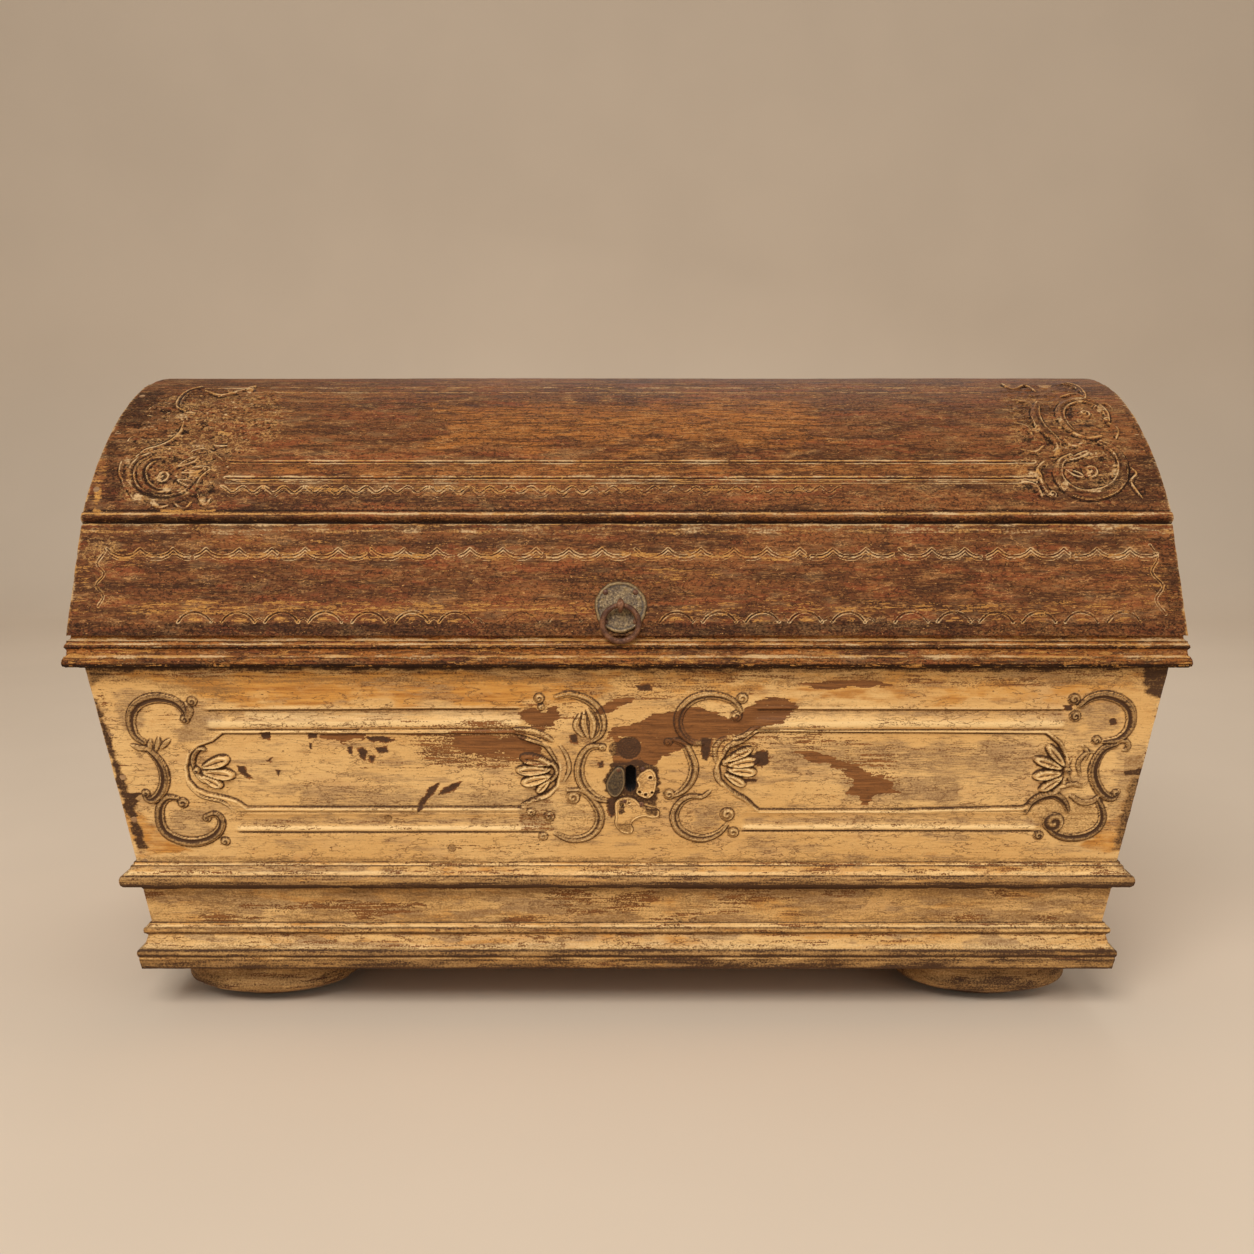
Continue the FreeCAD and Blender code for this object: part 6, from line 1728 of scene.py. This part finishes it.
def make_foot(node, seed):
    low, high = node_box(node)
    middle = (low + high) / 2
    section = smooth(FOOT_PIECE_SECTION, steps=4)
    section[:, 0] *= (high[0] - low[0]) / 2 / FOOT_RADIUS
    turns = circle(FOOT_TURNS)
    rows = len(section)
    radius, z = [np.repeat(values[:, None], FOOT_TURNS, axis=1) for values in section.T]
    around = FOOT_RADIUS * np.repeat(turns[None, :], rows, axis=0)

    def field(along, across, shift, octaves=4):
        return rough(around / along, z / across, seed + shift, octaves)

    uneven = 1.6 * field(26, 14, 0) + 1.8 * ease((field(60, 22, 3, 3) - 0.60) / 0.08)
    square = np.abs(np.cos(turns)) ** FOOT_SQUARE + np.abs(np.sin(turns)) ** FOOT_SQUARE
    spread = 1 + (square ** (-1 / FOOT_SQUARE) - 1) * ease((z - 6) / 24)
    vertices = np.stack([middle[0] + (radius - uneven) * spread * np.cos(turns),
                         middle[1] + (radius - uneven) * spread * np.sin(turns), z], axis=-1)
    corner = numbered(rows, FOOT_TURNS)
    faces = drum(corner)
    smooth_count = len(faces)
    faces += [corner[0, ::-1].tolist(), corner[-1].tolist()]
    soiled = field(40, 16, 9)
    # Darker towards the floor and under the chest: painted shade, over random dirt.
    grime_and_shade = np.clip(0.8 * np.exp(-z / 9) + ease((z - 50) / 16) + 0.28 + 0.66 * soiled, 0, 0.95)
    layers = {"chip": 0.45 * ease((field(30, 9, 7) - 0.50) / 0.05), "grime_and_shade": grime_and_shade,
              "wear_and_highlight": bell(z - 34, 14) * 0.5, "tone": 0.5 * soiled, "stain_and_shade": 0.5 + 0.5 * soiled}
    layers = {key: values.reshape(-1) for key, values in layers.items()}
    face_outwards(make_object(node + "_worn", vertices.reshape(-1, 3), faces, CHEST, node,
                              layers, smooth_count))


# Ring pull

RING_X = -8.0
RING_Z = 556.0
RING_RADIUS = 22.3
RING_WIRE = 3.64
RING_LEAN = math.radians(1.4)
RING_POINTS, RING_TURNS = 128, 28
PLATE_RADIUS = 33.0
PLATE_RISE = 2.5
PLATE_STUDS = 14
PLATE_ROWS, PLATE_TURNS = 34, 216
EYE_STANDOFF = 13.8
EYE_RADIUS = 4.3 + 2.5
EYE_WIRE = 2.35
EYE_POINTS, EYE_TURNS = 56, 18
SHANK_POINTS = 14
RING_PLACE = (SLANT.origin + (RING_Z - RAIL_TOP) * SLANT_RISE * SLANT.up
              + np.array([RING_X, 0, 0]))


def tube(path, radii, turns, closed=False):
    """Vertices of rings round a path, each turned as little as it can be from the last."""
    path = np.asarray(path, float)
    count = len(path)
    rings = []
    side = None
    for index in range(count):
        before = path[(index - 1) % count] if closed or index else path[0]
        after = path[(index + 1) % count] if closed or index < count - 1 else path[-1]
        ahead = (after - before) / np.linalg.norm(after - before)
        if side is None:
            guess = np.array([0.0, 1.0, 0.0]) if abs(ahead[1]) < 0.9 else X_AXIS
            side = np.cross(ahead, guess)
        side = side - np.dot(side, ahead) * ahead
        side /= np.linalg.norm(side)
        angles = circle(turns)[:, None]
        rings.append(path[index] + radii[index][:, None]
                     * (np.cos(angles) * side + np.sin(angles) * np.cross(ahead, side)))
    return np.array(rings).reshape(-1, 3)


def hoop_faces(corner):
    """Quads round a closed tube."""
    around = np.roll(corner, -1, axis=1)
    return quads(corner, around, (np.roll(corner, -1, axis=0), np.roll(around, -1, axis=0)))


def forged(count, turns, seed, depth, pitch):
    """Unevenness of a forged bar's radius, along and round it."""
    along, around = np.meshgrid(np.arange(count), np.arange(turns), indexing="ij")
    angle = around / turns * 2 * math.pi
    field = rough(along / pitch + 3, 2 * np.cos(angle) + 5, seed)
    return depth * (field + rough(along / pitch, 2 * np.sin(angle) + 9, seed + 1) - 1.0)


def make_iron(name, vertices, faces, body, node):
    made = make_object(name, vertices, faces, (body, "iron", IRON), node,
                       {"wear_and_highlight": np.zeros(len(vertices))})
    face_outwards(made)


def make_ring():
    centre = sum(node_box("pull_ring")) / 2
    angles = circle(RING_POINTS)
    lean = np.array([0.0, math.sin(RING_LEAN), math.cos(RING_LEAN)])
    path = [centre + RING_RADIUS * (math.sin(a) * X_AXIS + math.cos(a) * lean) for a in angles]
    thin = 1 - 0.16 * np.clip(np.cos(angles), 0, 1) ** 4
    radii = RING_WIRE * thin[:, None] + forged(RING_POINTS, RING_TURNS, 151, 0.40, 9.0)
    make_iron("pull_ring_forged", tube(path, radii, RING_TURNS, True),
              hoop_faces(numbered(RING_POINTS, RING_TURNS)), "pull_ring", "pull_ring")


def make_ring_plate():
    rows, columns = PLATE_ROWS, PLATE_TURNS
    share = np.linspace(0, 1, rows)[:, None]
    turns = circle(columns)[None, :]
    outline = (0.985 + 0.012 * np.sin(3 * turns + 1) + 0.010 * np.sin(7 * turns)
               + 0.006 * np.sin(16 * turns))
    studs = 0.9 * np.clip(np.cos(PLATE_STUDS * turns), 0, 1) ** 2 * bell(share - 0.76, 0.07)
    crown = PLATE_RISE * (1 - 0.55 * np.clip((share - 0.93) / 0.07, 0, 1) ** 2)
    height = crown + studs + 1.6 * bell(share, 0.24) + 1.1 * bell(share - 0.92, 0.05)
    reach = PLATE_RADIUS * share * (1 + (outline - 1) * share ** 4)
    right, high = reach * np.cos(turns), reach * np.sin(turns)
    height = height + 0.5 * (rough(right / 9 + 20, high / 9 + 20, 161, 3) - 0.5)
    base = RING_PLACE + right[..., None] * X_AXIS + high[..., None] * SLANT.up
    points = base + height[..., None] * SLANT.normal
    vertices = np.vstack([points[0, :1], points[1:].reshape(-1, 3),
                          base[-1] - 0.2 * SLANT.normal])
    corner = 1 + numbered(rows, columns)
    after = np.roll(corner, -1, axis=1)
    faces = [[0, int(here), int(there)] for here, there in zip(corner[0], after[0])]
    faces += quads(corner[:-1], corner[1:], (after[:-1], after[1:]))
    faces.append(corner[-1, ::-1].tolist())
    share = np.concatenate([np.repeat(share[:, 0], columns)[columns - 1:], np.ones(columns)])
    uneven = rough(vertices[:, 0] / 9, vertices[:, 2] / 9, 163, 2)
    gutter = 0.8 * bell(share - 0.84, 0.035) + 0.7 * np.clip((share - 0.97) / 0.03, 0, 1)
    layers = {"wear_and_highlight": 0.45 * bell(share - 0.92, 0.05) * uneven, "grime_and_shade": gutter}
    face_outwards(make_object("ring_plate_forged", vertices, faces, ("lid", "iron", IRON_WORN),
                              "ring_plate", layers, len(faces) - 1))


def make_staple():
    """Eye that holds the ring, and its shank through the plate."""
    centre = RING_PLACE + EYE_STANDOFF * SLANT.normal
    angles = circle(EYE_POINTS)
    path = [centre + EYE_RADIUS * (math.cos(a) * SLANT.normal + math.sin(a) * SLANT.up)
            for a in angles]
    knob = 2.6 * bell(np.minimum(angles, 2 * math.pi - angles), 0.9)
    radii = (EYE_WIRE + knob[:, None] * np.cos(circle(EYE_TURNS)) ** 2
             + forged(EYE_POINTS, EYE_TURNS, 171, 0.12, 5.0))
    faces = hoop_faces(numbered(EYE_POINTS, EYE_TURNS))
    shank = [centre - (EYE_RADIUS + run) * SLANT.normal
             for run in np.linspace(-0.6, 8.5, SHANK_POINTS)]
    wide = np.interp(np.linspace(0, 1, SHANK_POINTS), [0, 0.3, 0.75, 1.0], [2.5, 2.7, 3.2, 4.2])
    corner = EYE_POINTS * EYE_TURNS + numbered(SHANK_POINTS, EYE_TURNS)
    faces += drum(corner) + [corner[0, ::-1].tolist(), corner[-1].tolist()]
    vertices = np.vstack([tube(path, radii, EYE_TURNS, True),
                          tube(shank, np.repeat(wide[:, None], EYE_TURNS, axis=1), EYE_TURNS)])
    make_iron("ring_eye_forged", vertices, faces, "lid", "ring_staple")


# Keyhole plate: a dark lobe left of the slot, and two lobes covered in cream paint

KEY_PLATE_PITCH = 0.5
DARK_LOBE_PIXELS = [(615.6, 767), (610, 773.5), (605.8, 782), (606.5, 789), (610.5, 795),
                    (616.5, 796.5),
                    (621.5, 792.5), (625, 785), (625.4, 777.5), (624.6, 770), (621, 766)]
RIGHT_LOBE_PIXELS = [(635.8, 779), (639, 773.5), (645, 769), (651, 768), (655.5, 772.5),
                     (657, 780), (656, 788),
                     (653.5, 794), (648.5, 798), (640.5, 796), (635.5, 791.5), (638, 785)]
LOW_LOBE_PIXELS = [(619.4, 797.5), (627.5, 796), (635, 798), (641, 803.7), (647.5, 806),
                   (655, 807.5), (660, 811),
                   (658.7, 816), (652.5, 817.5), (643.7, 816), (636, 818.7), (631.9, 823.7),
                   (633.7, 828.7),
                   (631, 833), (623.7, 832.5), (617.5, 828.7), (614.4, 822.5), (615, 816),
                   (614.4, 805), (616, 800)]
RIGHT_HOLES_PIXELS = [((650.4, 776.9), 2.6), ((639.6, 791.3), 2.3), ((645.6, 793.8), 2.3),
                      ((652, 791.8), 2.0)]
LOW_HOLES_PIXELS = [((622, 804), 2.4), ((629, 802), 1.6)]
RIGHT_STAINS_PIXELS = [([(640, 776), (645, 774), (646, 784), (640, 786)], 0.30, 4.0)]
LOW_STAINS_PIXELS = [([(619, 800), (624, 798), (625, 812), (619, 814)], 0.85, 3.0),
              ([(645, 806), (659, 808), (657, 815), (646, 813)], 0.85, 3.0),
              ([(616, 822), (632, 821), (631, 832), (618, 830)], 0.60, 4.0)]


def cut_plate(name, pixels, holes, stains, material, seed):
    """Thin plate on the chest front, cut to an outline, with rimmed holes through it."""
    outline = smooth(np.array([FRONT.find(pixel) for pixel in pixels]), True, 4)
    low, high = outline.min(axis=0) - KEY_PLATE_PITCH, outline.max(axis=0) + KEY_PLATE_PITCH
    along, up = np.meshgrid(*[np.arange(low[axis], high[axis], KEY_PLATE_PITCH)
                              for axis in (0, 1)])
    relief = Relief(FRONT, along, up, seed)
    edge = -outside_by(outline, along, up)
    relief.height = 1.0 + 2.2 * np.sqrt(np.clip(1 - (1 - np.clip(edge / 2.4, 0, 1)) ** 2, 0, 1))
    relief.height += 0.8 * (relief.rough(7, 7, 0) - 0.5) + 0.5 * bell(edge - 1.6, 0.8)
    relief.layer["grime_and_shade"] = 0.95 * bell(edge, 1.1) + 0.5 * bell(edge - 3.6, 0.7)
    relief.layer["wear_and_highlight"] = 0.8 * bell(edge - 2.2, 0.8)
    for pixel, radius in holes:
        centre = FRONT.find(pixel)
        gap = np.hypot(along - centre[0], up - centre[1]) - radius
        edge = np.minimum(edge, gap)
        relief.height += 0.7 * bell(gap - 1.0, 0.8)
        relief.mark("wear_and_highlight", bell(gap - 1.0, 0.7))
    for area, strength, soft in stains:
        relief.patch(relief.at(area), "grime_and_shade", strength, soft, 1.2, (3, 3))
    middle = 0.25 * (edge[:-1, :-1] + edge[1:, :-1] + edge[:-1, 1:] + edge[1:, 1:])
    kept = np.pad(middle > 0, 1)
    corner = numbered(*along.shape)
    count = corner.size
    faces = []
    for row, column in zip(*np.nonzero(kept)):
        a, b = corner[row - 1, column - 1:column + 1].tolist()
        d, c = corner[row, column - 1:column + 1].tolist()
        faces += [[a, b, c, d], [a + count, d + count, c + count, b + count]]
        for beside, start, end in ((kept[row - 1, column], a, b), (kept[row, column + 1], b, c),
                                   (kept[row + 1, column], c, d), (kept[row, column - 1], d, a)):
            if not beside:
                faces.append([start + count, end + count, end, start])
    base = FRONT.points(along, up)
    top = base + relief.height[..., None] * FRONT.normal
    vertices = np.vstack([top.reshape(-1, 3), (base - 0.3 * FRONT.normal).reshape(-1, 3)])
    used, flat = np.unique(np.array([index for face in faces for index in face]),
                           return_inverse=True)
    faces = flat.reshape(-1, 4).tolist()
    layers = {key: np.tile(value.reshape(-1), 2)[used] for key, value in relief.layer.items()}
    make_object(name, vertices[used], faces, ("chest", "iron", material), "keyhole_plate", layers)


def make_keyhole_plates():
    cut_plate("keyhole_plate_left", DARK_LOBE_PIXELS, [], [(DARK_LOBE_PIXELS, 0.62, 5.0)],
              IRON_WORN, 191)
    cut_plate("keyhole_plate_right", RIGHT_LOBE_PIXELS, RIGHT_HOLES_PIXELS, RIGHT_STAINS_PIXELS,
              BODY_PAINT, 193)
    cut_plate("keyhole_plate_low", LOW_LOBE_PIXELS, LOW_HOLES_PIXELS, LOW_STAINS_PIXELS,
              BODY_PAINT, 197)


# Stage, in metres

FLOOR_HALF = 15.0
BACKDROP_DISTANCE = 4.5
BACKDROP_TOP = 9.0
BACKDROP_BEND = 1.2
FLOOR_COLOUR = linear(222, 202, 178)


def make_stage():
    start = BACKDROP_DISTANCE - BACKDROP_BEND
    section = [(-FLOOR_HALF, 0.0), (start, 0.0)]
    section += [(start + BACKDROP_BEND * math.sin(turn),
                 BACKDROP_BEND - BACKDROP_BEND * math.cos(turn))
                for turn in np.linspace(0.1, math.pi / 2, 14)]
    section.append((BACKDROP_DISTANCE, BACKDROP_TOP))
    vertices = [(x, y, z) for y, z in section for x in (-FLOOR_HALF, FLOOR_HALF)]
    faces = [[2 * i, 2 * i + 1, 2 * i + 3, 2 * i + 2] for i in range(len(section) - 1)]
    mesh = bpy.data.meshes.new("floor")
    mesh.from_pydata(vertices, [], faces)
    mesh.polygons.foreach_set("use_smooth", [True] * len(faces))
    made = Finish("pale_floor", 0.8)
    cloud = made.span(made.noise((1.5, 1.5, 1.5), 3, 0.5, 0.4), 0.3, 0.7)
    shade = tuple(value * 0.96 for value in FLOOR_COLOUR[:3]) + (1.0,)
    made.fill(made.shader, {"Base Color": made.mix(cloud, shade, FLOOR_COLOUR)})
    mesh.materials.append(made.material)
    add_to_scene("floor", mesh)


def area_light(name, place, target, size, power):
    data = bpy.data.lights.new(name, "AREA")
    data.shape = "RECTANGLE"
    data.size, data.size_y = size
    data.energy = power
    lamp = add_to_scene(name, data)
    lamp.location = place
    aim = Vector(np.array(target) - np.array(place))
    lamp.rotation_euler = aim.to_track_quat("-Z", "Y").to_euler()


def make_light():
    area_light("key_light", (-0.9, -3.2, 3.4), (0, 0, 0.4), (2.4, 1.8), 132)
    area_light("fill_light", (2.6, -2.6, 1.6), (0, 0, 0.4), (2.4, 2.0), 20)
    area_light("rear_light", (0.5, 3.0, 3.2), (0, 0, 0.5), (3.0, 2.0), 36)
    world = bpy.data.worlds.new("soft_world")
    world.use_nodes = True
    bpy.context.scene.world = world
    background = world.node_tree.nodes["Background"]
    background.inputs["Color"].default_value = (1.0, 0.98, 0.95, 1.0)
    background.inputs["Strength"].default_value = 0.42


# Making

make_camera()
make_stage()
make_light()
make_front()
make_slant()
make_dome_front()
make_plain_lid_boards()
make_plain_walls()
make_mouldings()
for place, foot in enumerate(("front_left", "front_right", "back_left", "back_right")):
    make_foot("foot_" + foot, 181 + place)
make_ring()
make_ring_plate()
make_staple()
make_keyhole_plates()
slots = {entry["node"]: entry["material_slot"] for entry in frame["record"]["subparts"]}
for node, carried in frame["nodes"].items():
    carried.data.materials.clear()
    carried.data.materials.append(SLOT_FINISHES[slots[node]])

bpy.context.scene.view_settings.view_transform = "Standard"
